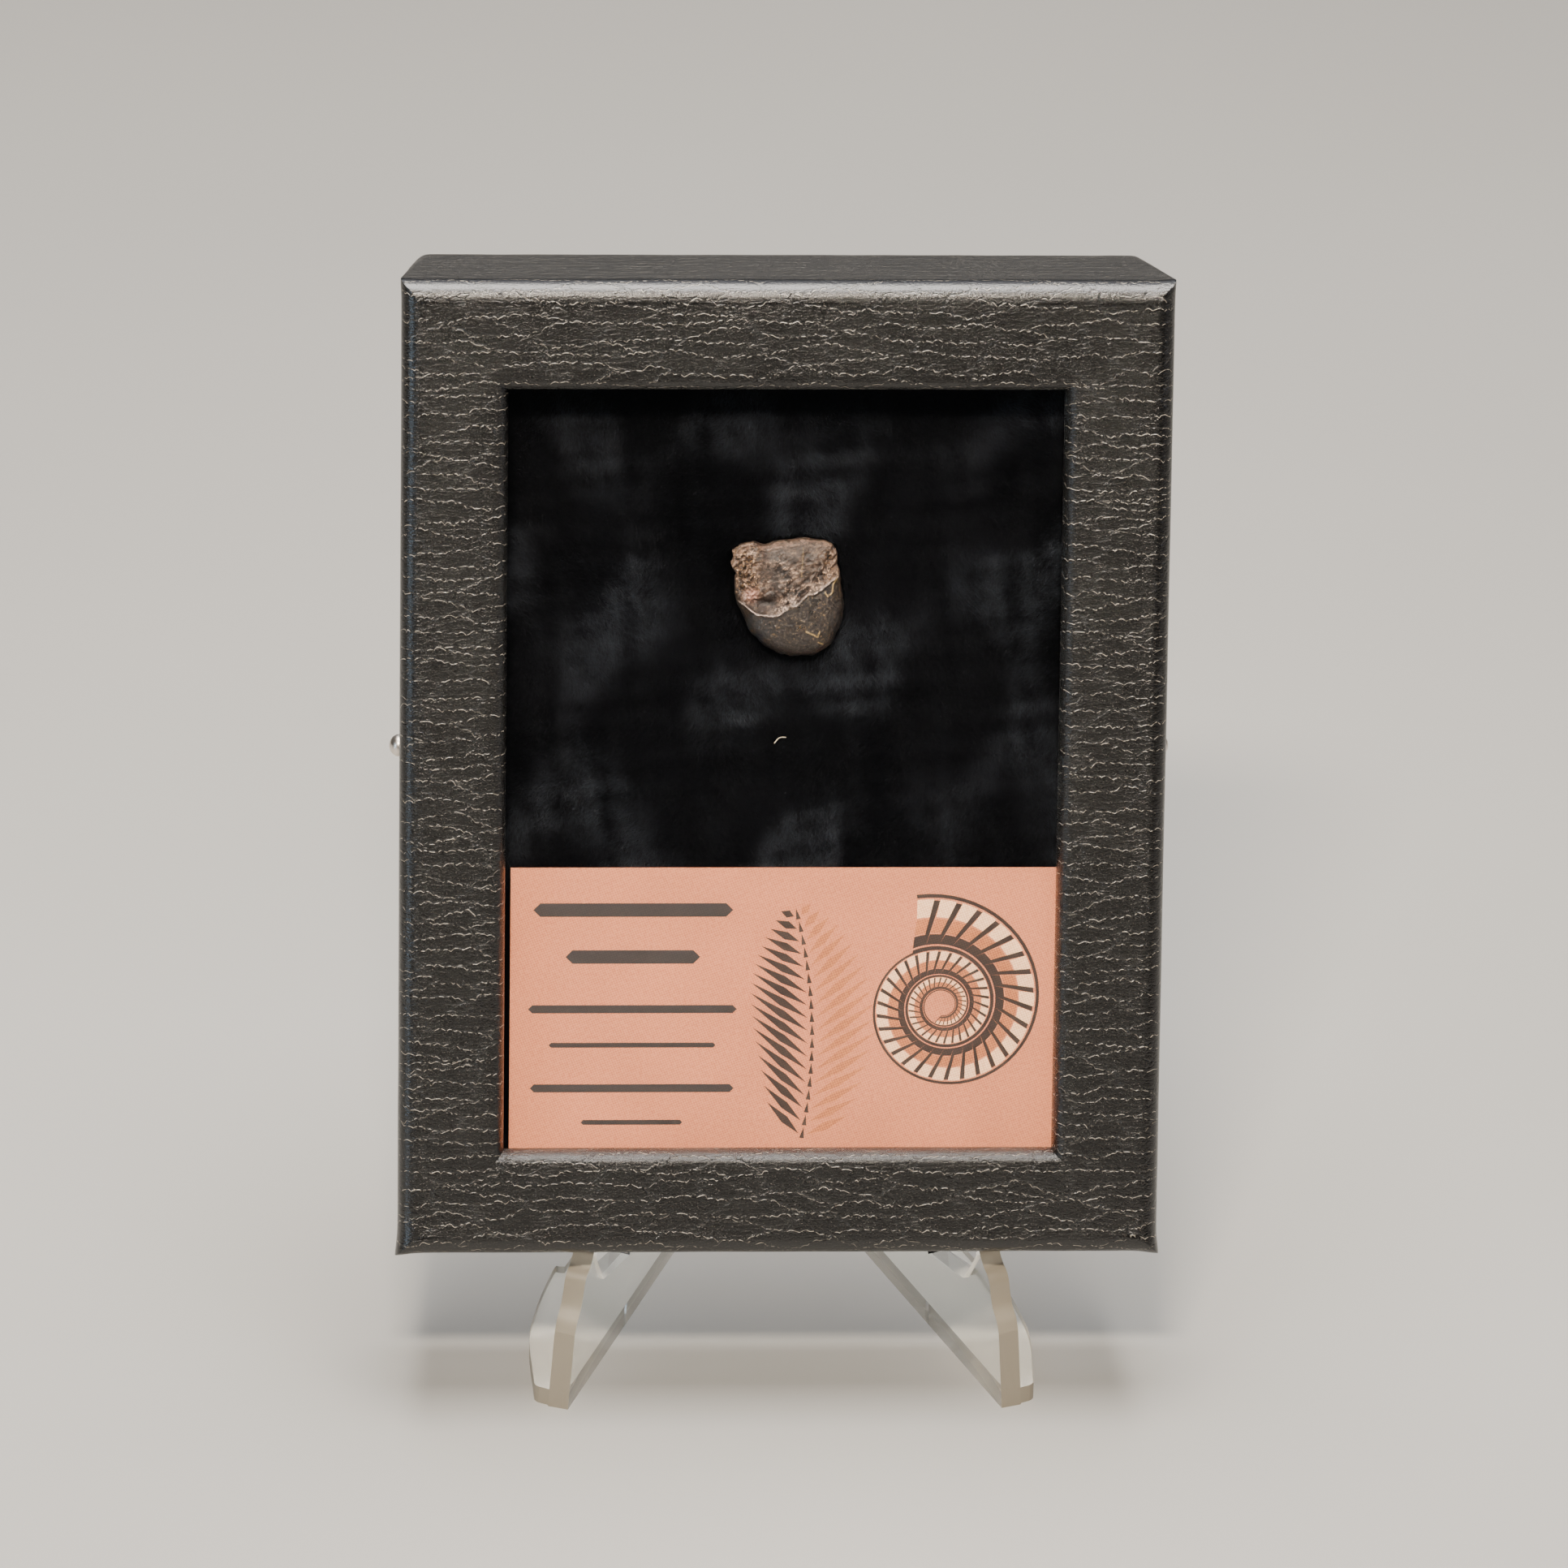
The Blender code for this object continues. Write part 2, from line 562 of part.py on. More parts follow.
def build():
    for obj in list(bpy.data.objects):
        bpy.data.objects.remove(obj, do_unlink=True)
    parts = named_collection("tooth_display")
    cutters = named_collection("cutters")

    leatherette = finish_material("leatherette", (0.03, 0.027, 0.025), 0.45)
    board = finish_material("covered_board", (0.02, 0.02, 0.02), 0.6)
    glass = finish_material("glass", (1.0, 1.0, 1.0), 0.02, transmission=1.0, ior=1.5)
    plush = finish_material("plush", (0.008, 0.009, 0.012), 0.9)
    card = finish_material("printed_card", (0.62, 0.42, 0.32), 0.6)
    nickel = finish_material("nickel", (0.75, 0.72, 0.68), 0.2, metallic=1.0)
    enamel = finish_material("fossil_tooth", (0.10, 0.075, 0.06), 0.4)
    acrylic = finish_material("clear_acrylic", (0.98, 0.98, 0.97), 0.05, transmission=1.0, ior=1.49)

    stand_at = Vector((STAND_OFFSET, -half_depth(), 0))
    case_at = Vector((0, TOE_LEAD - half_depth(), CASE_EDGE_HEIGHT))
    case_frame = frame_empty("case_frame", case_at, CASE_TILT, parts)
    stand_frame = frame_empty("stand_frame", stand_at, 0.0, parts)

    shell = lid(parts, cutters, case_frame, leatherette)
    glass_pane(parts, case_frame, glass)
    tray = base_tray(parts, cutters, case_frame, board)
    label_card(parts, case_frame, card)
    plush_lining(parts, cutters, case_frame, plush)
    tooth(parts, case_frame, enamel)
    for name, side in (("pin_left", -1), ("pin_right", 1)):
        side_pin(name, side, shell, tray, parts, cutters, case_frame, nickel)
    stand(parts, cutters, stand_frame, acrylic)


build()
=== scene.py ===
"""The looks of a fossil tooth in a glazed leatherette case on a clear stand.

Every length is in metres. The case has a frame of its own: X to the right, Y from its front
face to the back, Z up the face, with its origin at the middle of the lower front edge.
"""

import math

import bmesh
import bpy
import numpy as np
from mathutils import Matrix, Vector, noise
from mathutils.geometry import delaunay_2d_cdt


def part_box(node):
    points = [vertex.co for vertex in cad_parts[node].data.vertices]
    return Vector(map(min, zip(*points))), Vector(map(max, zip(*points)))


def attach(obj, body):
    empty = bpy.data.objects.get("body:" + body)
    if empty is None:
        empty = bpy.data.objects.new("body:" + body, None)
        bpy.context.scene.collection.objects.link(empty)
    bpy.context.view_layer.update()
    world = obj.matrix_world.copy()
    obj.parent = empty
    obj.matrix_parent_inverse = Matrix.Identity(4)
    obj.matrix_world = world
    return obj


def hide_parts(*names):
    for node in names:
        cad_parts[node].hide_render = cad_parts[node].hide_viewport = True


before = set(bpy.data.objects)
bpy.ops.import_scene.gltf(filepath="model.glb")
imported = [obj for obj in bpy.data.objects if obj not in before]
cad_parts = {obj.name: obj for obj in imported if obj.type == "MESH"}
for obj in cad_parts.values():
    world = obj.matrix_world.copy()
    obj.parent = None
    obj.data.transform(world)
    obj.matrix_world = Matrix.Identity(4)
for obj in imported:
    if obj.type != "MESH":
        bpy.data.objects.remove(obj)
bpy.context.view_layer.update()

MM = 0.001
GAP = 0.3 * MM

# The case, as the solids have it.
CASE_WIDTH = 82.5 * MM
CASE_HEIGHT = 107.0 * MM
CASE_DEPTH = 19.0 * MM
CASE_TILT = math.radians(13.4)
CASE_EDGE_HEIGHT = 18.8 * MM
TOE_LEAD = 0.14 * MM
MIDDLE = CASE_HEIGHT / 2

# The lid's section. Its edges are rolled more softly than the solid's, and its window ends 0.6 mm
# higher at the bottom and 0.15 mm further out at the left.
FRONT_ROUNDING = 2.2 * MM
SIDE_DRAW = 1.7 * MM
END_DRAW = 0.6 * MM
PANEL_THICKNESS = 2.4 * MM
LID_WALL = 1.5 * MM
WINDOW_WIDTH = 59.0 * MM
BOTTOM_RAIL = 11.6 * MM
TOP_RAIL = 11.9 * MM
LEFT_EASE = 0.15 * MM
WINDOW_ROUNDING, WINDOW_ROLL = 1.2 * MM, 2.1 * MM
TOP_PINCH, BOTTOM_PINCH = 0.14 * MM, 0.4 * MM
PINCH_REACH = 1.5 * MM
WALL_CORNER = 2.0 * MM
SEAM_HALF_WIDTH = 0.22 * MM

# The lid's sides in turn, each from one corner to the next, and the way out along its axis.
SIDES = ("bottom", "right", "top", "left")
UPRIGHT_SIDES = ("left", "right")
LID_CORNERS = (("left", "bottom"), ("right", "bottom"), ("right", "top"), ("left", "top"))
OUTWARD = {"left": -1, "right": 1, "bottom": -1, "top": 1}

GLASS_FRONT = PANEL_THICKNESS + GAP
GLASS_THICKNESS = 1.6 * MM
CARD_FRONT = GLASS_FRONT + GLASS_THICKNESS + GAP
CARD_THICKNESS = 0.4 * MM
# The printed card reaches 0.3 mm further left than the solid.
CARD_LEFT, CARD_RIGHT = -29.0 * MM, 31.3 * MM
CARD_BOTTOM, CARD_TOP = 10.4 * MM, 42.2 * MM

POCKET_HALF_WIDTH = CASE_WIDTH / 2 - SIDE_DRAW - LID_WALL
POCKET_HALF_HEIGHT = CASE_HEIGHT / 2 - END_DRAW - LID_WALL

PLUSH_HALF_WIDTH = 35.0 * MM
PLUSH_HALF_HEIGHT = 48.0 * MM
PLUSH_FACE = 6.5 * MM
PLUSH_BACK = CASE_DEPTH - 1.8 * MM

PIN_DEPTH = 9.5 * MM
PIN_HEIGHT = 54.5 * MM

TOOTH_CENTRE = Vector((0.5, 8.0, 71.5)) * MM
TOOTH_FRONT = 3.0 * MM
TOOTH_BACK = 3.3 * MM

STAND_OFFSET = 1.2 * MM
TOE_HALF_SPREAD = 23.6 * MM
ARM_ANGLE = math.radians(20.4)
ARM_LEAN = math.radians(3.6)
PLATE_THICKNESS = 2.3 * MM
FOOT_THICKNESS = 2.0 * MM
UPRIGHT_TOP = 76.0 * MM
CORNER_RADIUS = 3.0 * MM
LEDGE_HEIGHT = 9.3 * MM
KNUCKLE_RADIUS = 2.5 * MM
KNUCKLE_SPANS = ((8.0 * MM, 26.0 * MM), (27.0 * MM, 51.0 * MM), (52.0 * MM, 70.0 * MM))
EDGE_BREAK = 0.16 * MM
# How far back and how high the hooks reach, whose cut fronts show.
HOOK_REACH, HOOK_TOP = 6.5 * MM, 18.5 * MM
# Further than any part of the stand, for the solids that cut it.
FAR = 120 * MM

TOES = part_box("stand_left_arm")[0].y
CASE = Matrix.Translation((0, TOES + TOE_LEAD, CASE_EDGE_HEIGHT)) @ Matrix.Rotation(-CASE_TILT, 4, "X")
STAND = Matrix.Translation((STAND_OFFSET, TOES, 0))

# Outlines in mm, as in the solids.
TOOTH_OUTLINE = (
    (6.1, -1.3), (5.8, 0.8), (5.4, 3.3), (5.2, 5.0), (4.6, 5.7), (2.3, 6.2), (-0.2, 6.0),
    (-2.2, 5.6), (-4.3, 5.7), (-5.7, 5.0), (-6.0, 3.7), (-5.6, 2.3), (-5.6, 0.3),
    (-4.7, -2.2), (-3.5, -4.4), (-1.9, -5.8), (-0.4, -6.4), (1.3, -6.6), (3.2, -6.4),
    (4.6, -5.4), (5.7, -3.4),
)
TOOTH_RIDGE = ((-6.2, 0.7), (-5.3, -0.4), (-3.1, -1.6), (-1.5, -1.7), (0.6, -0.6), (2.2, 0.7), (5.6, 2.4))
FOOT_EDGE = (
    (0.4, 3.5), (0.7, 4.0), (1.2, 4.3), (3.2, 5.1), (8.0, 7.1), (11.6, 8.3), (14.8, 8.95),
    (19.5, 9.7), (25.8, 10.3), (26.4, 10.0), (26.6, 9.3), (56.0, 9.3), (60.5, 6.5), (62.0, 3.0),
)
HOOK_EDGE = (
    (0.0, -0.5), (0.0, 9.2), (0.4, 10.5), (1.3, 11.7), (1.7, 13.0), (1.9, 14.4), (2.4, 15.2),
    (3.2, 15.7), (3.8, 16.4), (4.1, 17.0), (4.5, 17.3), (4.9, 17.1), (5.1, 16.1), (8.6, 11.4),
)

# The tooth's outline again, as (angle, radius in metres) from its middle, with its ends repeated a turn away.
TOOTH_POLAR = sorted((math.atan2(z, x), math.hypot(x, z) * MM) for x, z in TOOTH_OUTLINE)
TOOTH_POLAR = ([(TOOTH_POLAR[-1][0] - math.tau, TOOTH_POLAR[-1][1])] + TOOTH_POLAR
               + [(TOOTH_POLAR[0][0] + math.tau, TOOTH_POLAR[0][1])])


def linear(code):
    """Turn an sRGB hex code into the linear colour that a shader takes."""
    channels = [int(code[i:i + 2], 16) / 255 for i in (1, 3, 5)]
    curve = [c / 12.92 if c <= 0.04045 else ((c + 0.055) / 1.055) ** 2.4 for c in channels]
    return (*curve, 1.0)


def new_finish(name):
    """Return a material, its node tree and its Principled shader."""
    material = bpy.data.materials.new(name)
    material.use_nodes = True
    tree = material.node_tree
    return material, tree, tree.nodes["Principled BSDF"]


def add(tree, kind, inputs=None, output=None, stops=None, **settings):
    """Add a node, set or link its inputs, and return one output: the named one, or the first in use.

    A hex code among the inputs is turned to a linear colour.
    """
    node = tree.nodes.new("ShaderNode" + kind)
    for name, value in settings.items():
        setattr(node, name, value)
    for name, value in (inputs or {}).items():
        if isinstance(value, bpy.types.NodeSocket):
            tree.links.new(value, node.inputs[name])
        else:
            node.inputs[name].default_value = linear(value) if isinstance(value, str) else value
    if stops:
        elements = node.color_ramp.elements
        for (place, code), element in zip(stops, list(elements) + [None] * len(stops)):
            element = element or elements.new(place)
            element.position = place
            element.color = linear(code)
    return node.outputs[output] if output else next(socket for socket in node.outputs if socket.enabled)


def smooth(value):
    """Rise smoothly from 0 to 1 as a value or an array of values does."""
    value = np.clip(value, 0.0, 1.0)
    return value * value * (3.0 - 2.0 * value)


def between(pairs, where):
    """Read a curve through (place, value) pairs by easing from one to the next."""
    places, values = np.array(pairs).T
    where = np.clip(where, places[0], places[-1])
    left = np.clip(np.searchsorted(places, where) - 1, 0, len(places) - 2)
    share = smooth((where - places[left]) / (places[left + 1] - places[left]))
    return values[left] * (1 - share) + values[left + 1] * share


def bell(distance, width):
    """1 at no distance, falling to nothing over about two widths."""
    return np.exp(-((distance / width) ** 2))


def piece(name, mesh, materials, replaces=(), place=None, sharp=40):
    """Put a finished mesh into the scene as a piece that rides on the one body."""
    if place is not None:
        mesh.transform(place)
    obj = bpy.data.objects.new(name, mesh)
    bpy.context.scene.collection.objects.link(obj)
    for material in materials:
        mesh.materials.append(material)
    mesh.shade_smooth()
    mesh.set_sharp_from_angle(angle=math.radians(sharp))
    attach(obj, "root")
    if replaces:
        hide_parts(*replaces)
    return obj


def mesh_from(name, vertices, faces):
    """Return a mesh from lists or arrays of points and faces."""
    mesh = bpy.data.meshes.new(name)
    mesh.from_pydata([tuple(v) for v in vertices], [], [tuple(f) for f in faces])
    return mesh


def mesh_of(name, bm):
    """Return a mesh from a bmesh, with its faces turned out."""
    bmesh.ops.recalc_face_normals(bm, faces=bm.faces)
    mesh = bpy.data.meshes.new(name)
    bm.to_mesh(mesh)
    bm.free()
    return mesh


def turned_out(name, mesh):
    """Return a copy of a mesh whose points have moved, with its faces turned out again."""
    bm = bmesh.new()
    bm.from_mesh(mesh)
    return mesh_of(name, bm)


def close_back(bm, axis, level):
    """Turn a sheet into a closed slab: its rim is drawn out to a level on an axis, and filled there."""
    rim = [edge for edge in bm.edges if edge.is_boundary]
    grown = bmesh.ops.extrude_edge_only(bm, edges=rim)["geom"]
    for item in grown:
        if isinstance(item, bmesh.types.BMVert):
            item.co[axis] = level
    bmesh.ops.contextual_create(bm, geom=[item for item in grown if isinstance(item, bmesh.types.BMEdge)])


def wobble(point, scale, seed=0.0):
    """Smooth noise from -1 to 1 at a point, with features of a size given in metres."""
    return noise.noise(Vector(point) / scale + Vector((seed, 3.1 * seed, -seed)))


def points_of(mesh):
    """The mesh's points as an array with a row for each."""
    values = np.empty(3 * len(mesh.vertices), dtype=np.float32)
    mesh.vertices.foreach_get("co", values)
    return values.reshape(-1, 3).astype(float)


def set_points(mesh, values):
    """Move the mesh's points to the rows of an array."""
    mesh.vertices.foreach_set("co", values.astype(np.float32).ravel())
    mesh.update()


def mark(mesh, name, values):
    """Keep one number for each point on the mesh, for its material to read."""
    mesh.attributes.new(name, "FLOAT", "POINT").data.foreach_set("value", values.astype(np.float32))


# Finishes.

def leatherette_finish():
    """Leatherette: black-brown vinyl paper, embossed with wide flat cells and a fine grain.

    It is nearly black and its half gloss glints on the grain; the lower lips of its level creases are painted
    pale, a painted highlight for light from above.
    """
    material, tree, shader = new_finish("embossed_leatherette")
    place = add(tree, "UVMap", uv_map="cover")
    # Sizes on the sheet in mm: cells and pebbles are (width, height).
    cell, pebble = (6.5, 1.6), (1.3, 0.6)
    arch_length, arch_height, highlight_lip_offset = 1.1, 0.2, 0.07
    relief_height = 0.17 * MM
    # Distances from a crease's line, in shares of a cell.
    line, beside_line, pebble_line = (0.0, 0.055), (0.03, 0.26), (0.0, 0.2)

    def bend(start, size, amount):
        """Move a place in the sheet by a noise, with its size and amount in mm."""
        cloud = add(tree, "TexNoise", {"Vector": start, "Scale": 1 / size, "Detail": 1.0}, "Color")
        centred = add(tree, "VectorMath", {0: cloud, 1: (0.5, 0.5, 0.5)}, operation="SUBTRACT")
        return add(tree, "VectorMath", {0: centred, 1: (2 * amount,) * 3, 2: start}, operation="MULTIPLY_ADD")

    def groove(start, size, low, high):
        """Creases between cells of a size: 1 up to the low distance from the line, 0 from the high one.

        Their walls are straight, so that a whole wall glints at once.
        """
        unit = add(tree, "VectorMath", {0: start, 1: (1 / size[0], 1 / size[1], 1.0)}, operation="MULTIPLY")
        away = add(tree, "TexVoronoi", {"Vector": unit, "Scale": 1.0}, voronoi_dimensions="2D",
                   feature="DISTANCE_TO_EDGE")
        return add(tree, "MapRange", {"Value": away, "From Min": low, "From Max": high,
                                      "To Min": 1.0, "To Max": 0.0})

    # The creases run in small arches, and show only in patches where the sheet was stretched.
    drift = bend(place, 2.6, 0.7)
    run = add(tree, "SeparateXYZ", {"Vector": bend(drift, 1.3, 0.5)}, "X")
    turn = add(tree, "Math", {0: run, 1: math.pi / arch_length}, operation="MULTIPLY")
    arch = add(tree, "Math", {0: turn}, operation="SINE")
    arch = add(tree, "Math", {0: arch}, operation="ABSOLUTE")
    arched = add(tree, "VectorMath", {0: arch, 1: (0.0, -arch_height, 0.0), 2: drift},
                 operation="MULTIPLY_ADD")
    # The crease is read again a little above, so that only the lower lip of each level crease is marked, for
    # the painted highlight.
    above = add(tree, "VectorMath", {0: arched, 1: (0.0, highlight_lip_offset, 0.0)}, operation="ADD")
    crease = groove(arched, cell, *line)
    patches = add(tree, "TexNoise", {"Vector": place, "Scale": 2.1, "Detail": 2.0})
    shown = add(tree, "MapRange", {"Value": patches, "From Min": 0.45, "From Max": 0.55, "To Min": 0.04})
    lip = add(tree, "Math", {0: groove(above, cell, *line), 1: crease}, operation="SUBTRACT", use_clamp=True)
    lip = add(tree, "MapRange", {"Value": lip, "From Min": 0.3, "From Max": 0.75})
    lip = add(tree, "Math", {0: lip, 1: shown}, operation="MULTIPLY")
    crease = add(tree, "Math", {0: crease, 1: shown}, operation="MULTIPLY")
    grain = add(tree, "TexNoise", {"Vector": place, "Scale": 6.0, "Detail": 2.5, "Roughness": 0.65})

    # The vinyl's tone follows the grain; its few highest grain spots turn pale, painted glints.
    vinyl_and_painted_glints = add(tree, "ValToRGB", {"Fac": grain},
                stops=[(0.5, "#020202"), (0.6, "#0b0a08"), (0.7, "#453e37")])
    # The lower lips are mixed towards a pale tone: a painted highlight where light from above would catch
    # them, not wear.
    rubbed_spots_and_lit_lips = add(tree, "Math", {0: lip, 1: 0.75}, operation="MULTIPLY")
    rubbed_spots_and_lit_lips = add(tree, "Mix", {"Factor": rubbed_spots_and_lit_lips, 6: vinyl_and_painted_glints, 7: "#b4ab9d"}, data_type="RGBA")
    seam = add(tree, "Attribute", output="Fac", attribute_name="seam")
    # Crease lines are darkened to near black, a painted shade in their grooves; the mitred corner seams are
    # darkened the same way.
    painted_crease_shade_and_seams = add(tree, "MapRange", {"Value": crease, "From Min": 0.6, "From Max": 0.95})
    painted_crease_shade_and_seams = add(tree, "Math", {0: painted_crease_shade_and_seams, 1: seam}, operation="MAXIMUM")
    darker = add(tree, "Mix", {"Factor": painted_crease_shade_and_seams, 6: rubbed_spots_and_lit_lips, 7: "#070606"}, data_type="RGBA")
    cloud = add(tree, "TexNoise", {"Vector": place, "Scale": 0.09, "Detail": 2.0})
    shade = add(tree, "MapRange", {"Value": cloud, "From Min": 0.3, "From Max": 0.7,
                                   "To Min": 0.85, "To Max": 1.15})
    tone = add(tree, "VectorMath", {0: darker, "Scale": shade}, operation="SCALE")
    tree.links.new(tone, shader.inputs["Base Color"])

    rough = add(tree, "MapRange", {"Value": grain, "From Min": 0.35, "From Max": 0.65,
                                   "To Min": 0.25, "To Max": 0.13})
    tree.links.new(rough, shader.inputs["Roughness"])

    deep = groove(arched, cell, *beside_line)
    deep = add(tree, "Math", {0: deep, 1: 0.1, 2: 0.1}, operation="MULTIPLY_ADD")
    pits = groove(bend(place, 0.5, 0.2), pebble, *pebble_line)
    pits = add(tree, "Math", {0: pits, 1: deep}, operation="MULTIPLY")
    relief = add(tree, "Math", {0: crease, 1: -0.3, 2: 1.0}, operation="MULTIPLY_ADD")
    relief = add(tree, "Math", {0: relief, 1: pits}, operation="SUBTRACT")
    relief = add(tree, "Math", {0: grain, 1: 0.45, 2: relief}, operation="MULTIPLY_ADD")
    stretched = add(tree, "Attribute", output="Fac", attribute_name="stretched")
    strength = add(tree, "MapRange", {"Value": stretched, "To Min": 1.0, "To Max": 0.5})
    bump = add(tree, "Bump", {"Height": relief, "Strength": strength, "Distance": relief_height})
    tree.links.new(bump, shader.inputs["Normal"])
    shader.inputs["IOR"].default_value = 1.55
    return material


def glass_finish():
    """Float glass: clear, polished, and all but unseen from the front."""
    material, _, shader = new_finish("float_glass")
    shader.inputs["Base Color"].default_value = (1, 1, 1, 1)
    shader.inputs["Roughness"].default_value = 0.0
    shader.inputs["IOR"].default_value = 1.5
    shader.inputs["Transmission Weight"].default_value = 1.0
    return material


def plush_finish(name, root, tip):
    """Polyester plush: near-black pile with hardly any gloss, a little greyer towards its tips: the grey is a
    painted sheen.
    """
    material, tree, shader = new_finish(name)
    shade = add(tree, "Attribute", output="Fac", attribute_name="shade")
    tint = add(tree, "Mix", {"Factor": shade, 6: root, 7: tip}, data_type="RGBA")
    tree.links.new(tint, shader.inputs["Base Color"])
    shader.inputs["Roughness"].default_value = 0.7
    shader.inputs["Specular IOR Level"].default_value = 0.02
    return material


def print_finish(name, light, dark):
    """Inkjet print on satin card: fine rows of dots between two close tones."""
    material, tree, shader = new_finish(name)
    dot_pitch, screen_angle = 0.36, math.radians(24)  # in mm on the card
    place = add(tree, "UVMap", uv_map="print")
    turned = add(tree, "VectorRotate", {"Vector": place, "Angle": screen_angle}, rotation_type="Z_AXIS")
    waves = []
    for axis in ("X", "Y"):
        across = add(tree, "SeparateXYZ", {"Vector": turned}, axis)
        turn = add(tree, "Math", {0: across, 1: math.tau / dot_pitch}, operation="MULTIPLY")
        waves.append(add(tree, "Math", {0: turn}, operation="SINE"))
    dots = add(tree, "Math", {0: waves[0], 1: waves[1]}, operation="MULTIPLY")
    grain = add(tree, "TexNoise", {"Vector": place, "Scale": 3.0, "Detail": 2.0})
    mixed = add(tree, "Math", {0: dots, 1: 0.4, 2: grain}, operation="MULTIPLY_ADD")
    ink = add(tree, "MapRange", {"Value": mixed, "From Min": 0.25, "From Max": 0.75})
    tones = add(tree, "Mix", {"Factor": ink, 6: light, 7: dark}, data_type="RGBA")
    bands = add(tree, "TexNoise", {"Vector": place, "Scale": 0.12, "Detail": 1.0})
    shade = add(tree, "MapRange", {"Value": bands, "From Min": 0.3, "From Max": 0.7,
                                   "To Min": 0.94, "To Max": 1.05})
    tone = add(tree, "VectorMath", {0: tones, "Scale": shade}, operation="SCALE")
    tree.links.new(tone, shader.inputs["Base Color"])
    shader.inputs["Roughness"].default_value = 0.45
    return material


def nickel_finish():
    """Nickel plate on a steel pin: warm, bright, with faint marks from tumbling."""
    material, tree, shader = new_finish("nickel_plated_steel")
    place = add(tree, "TexCoord", output="Object")
    marks = add(tree, "TexNoise", {"Vector": place, "Scale": 4000.0, "Detail": 3.0})
    rough = add(tree, "MapRange", {"Value": marks, "To Min": 0.28, "To Max": 0.45})
    tree.links.new(rough, shader.inputs["Roughness"])
    shader.inputs["Base Color"].default_value = linear("#d9d0c6")
    shader.inputs["Metallic"].default_value = 1.0
    return material


def acrylic_finish(name, roughness, haze, tint, clearness):
    """Cast acrylic: clear and hard, with fine handling marks, or part frosted where it was sawn."""
    material, tree, shader = new_finish(name)
    place = add(tree, "TexCoord", output="Object")
    drawn = add(tree, "VectorMath", {0: place, 1: (900.0, 500.0, 900.0)}, operation="MULTIPLY")
    marks = add(tree, "TexNoise", {"Vector": drawn, "Scale": 1.0, "Detail": 4.0, "Roughness": 0.65})
    rough = add(tree, "MapRange", {"Value": marks, "From Min": 0.45, "From Max": 0.75,
                                   "To Min": roughness, "To Max": roughness + haze})
    tree.links.new(rough, shader.inputs["Roughness"])
    shader.inputs["Base Color"].default_value = linear(tint)
    shader.inputs["IOR"].default_value = 1.49
    shader.inputs["Transmission Weight"].default_value = clearness
    return material


def board_finish():
    """Black paper over grey board: dull, with the paper's fibres and a few rubbed spots."""
    material, tree, shader = new_finish("black_paper_on_board")
    place = add(tree, "TexCoord", output="Object")
    fibres = add(tree, "TexNoise", {"Vector": place, "Scale": 2600.0, "Detail": 4.0})
    rubbed_spots_and_lit_lips = add(tree, "TexNoise", {"Vector": place, "Scale": 70.0, "Detail": 5.0})
    mixed = add(tree, "Math", {0: rubbed_spots_and_lit_lips, 1: 0.8, 2: fibres}, operation="MULTIPLY_ADD")
    paper = add(tree, "ValToRGB", {"Fac": mixed},
                stops=[(0.6, "#100f0f"), (0.95, "#1d1c1b"), (1.0, "#2a2927")])
    tree.links.new(paper, shader.inputs["Base Color"])
    bump = add(tree, "Bump", {"Height": fibres, "Strength": 0.5, "Distance": 0.05 * MM})
    tree.links.new(bump, shader.inputs["Normal"])
    shader.inputs["Roughness"].default_value = 0.75
    return material


def lint_finish():
    """Cotton lint: a dull cream thread, dirtied in places."""
    material, tree, shader = new_finish("cotton_lint")
    place = add(tree, "TexCoord", output="Object")
    cloud = add(tree, "TexNoise", {"Vector": place, "Scale": 3000.0})
    tone = add(tree, "Mix", {"Factor": cloud, 6: "#c9bca0", 7: "#8c8069"}, data_type="RGBA")
    tree.links.new(tone, shader.inputs["Base Color"])
    shader.inputs["Roughness"].default_value = 0.8
    return material


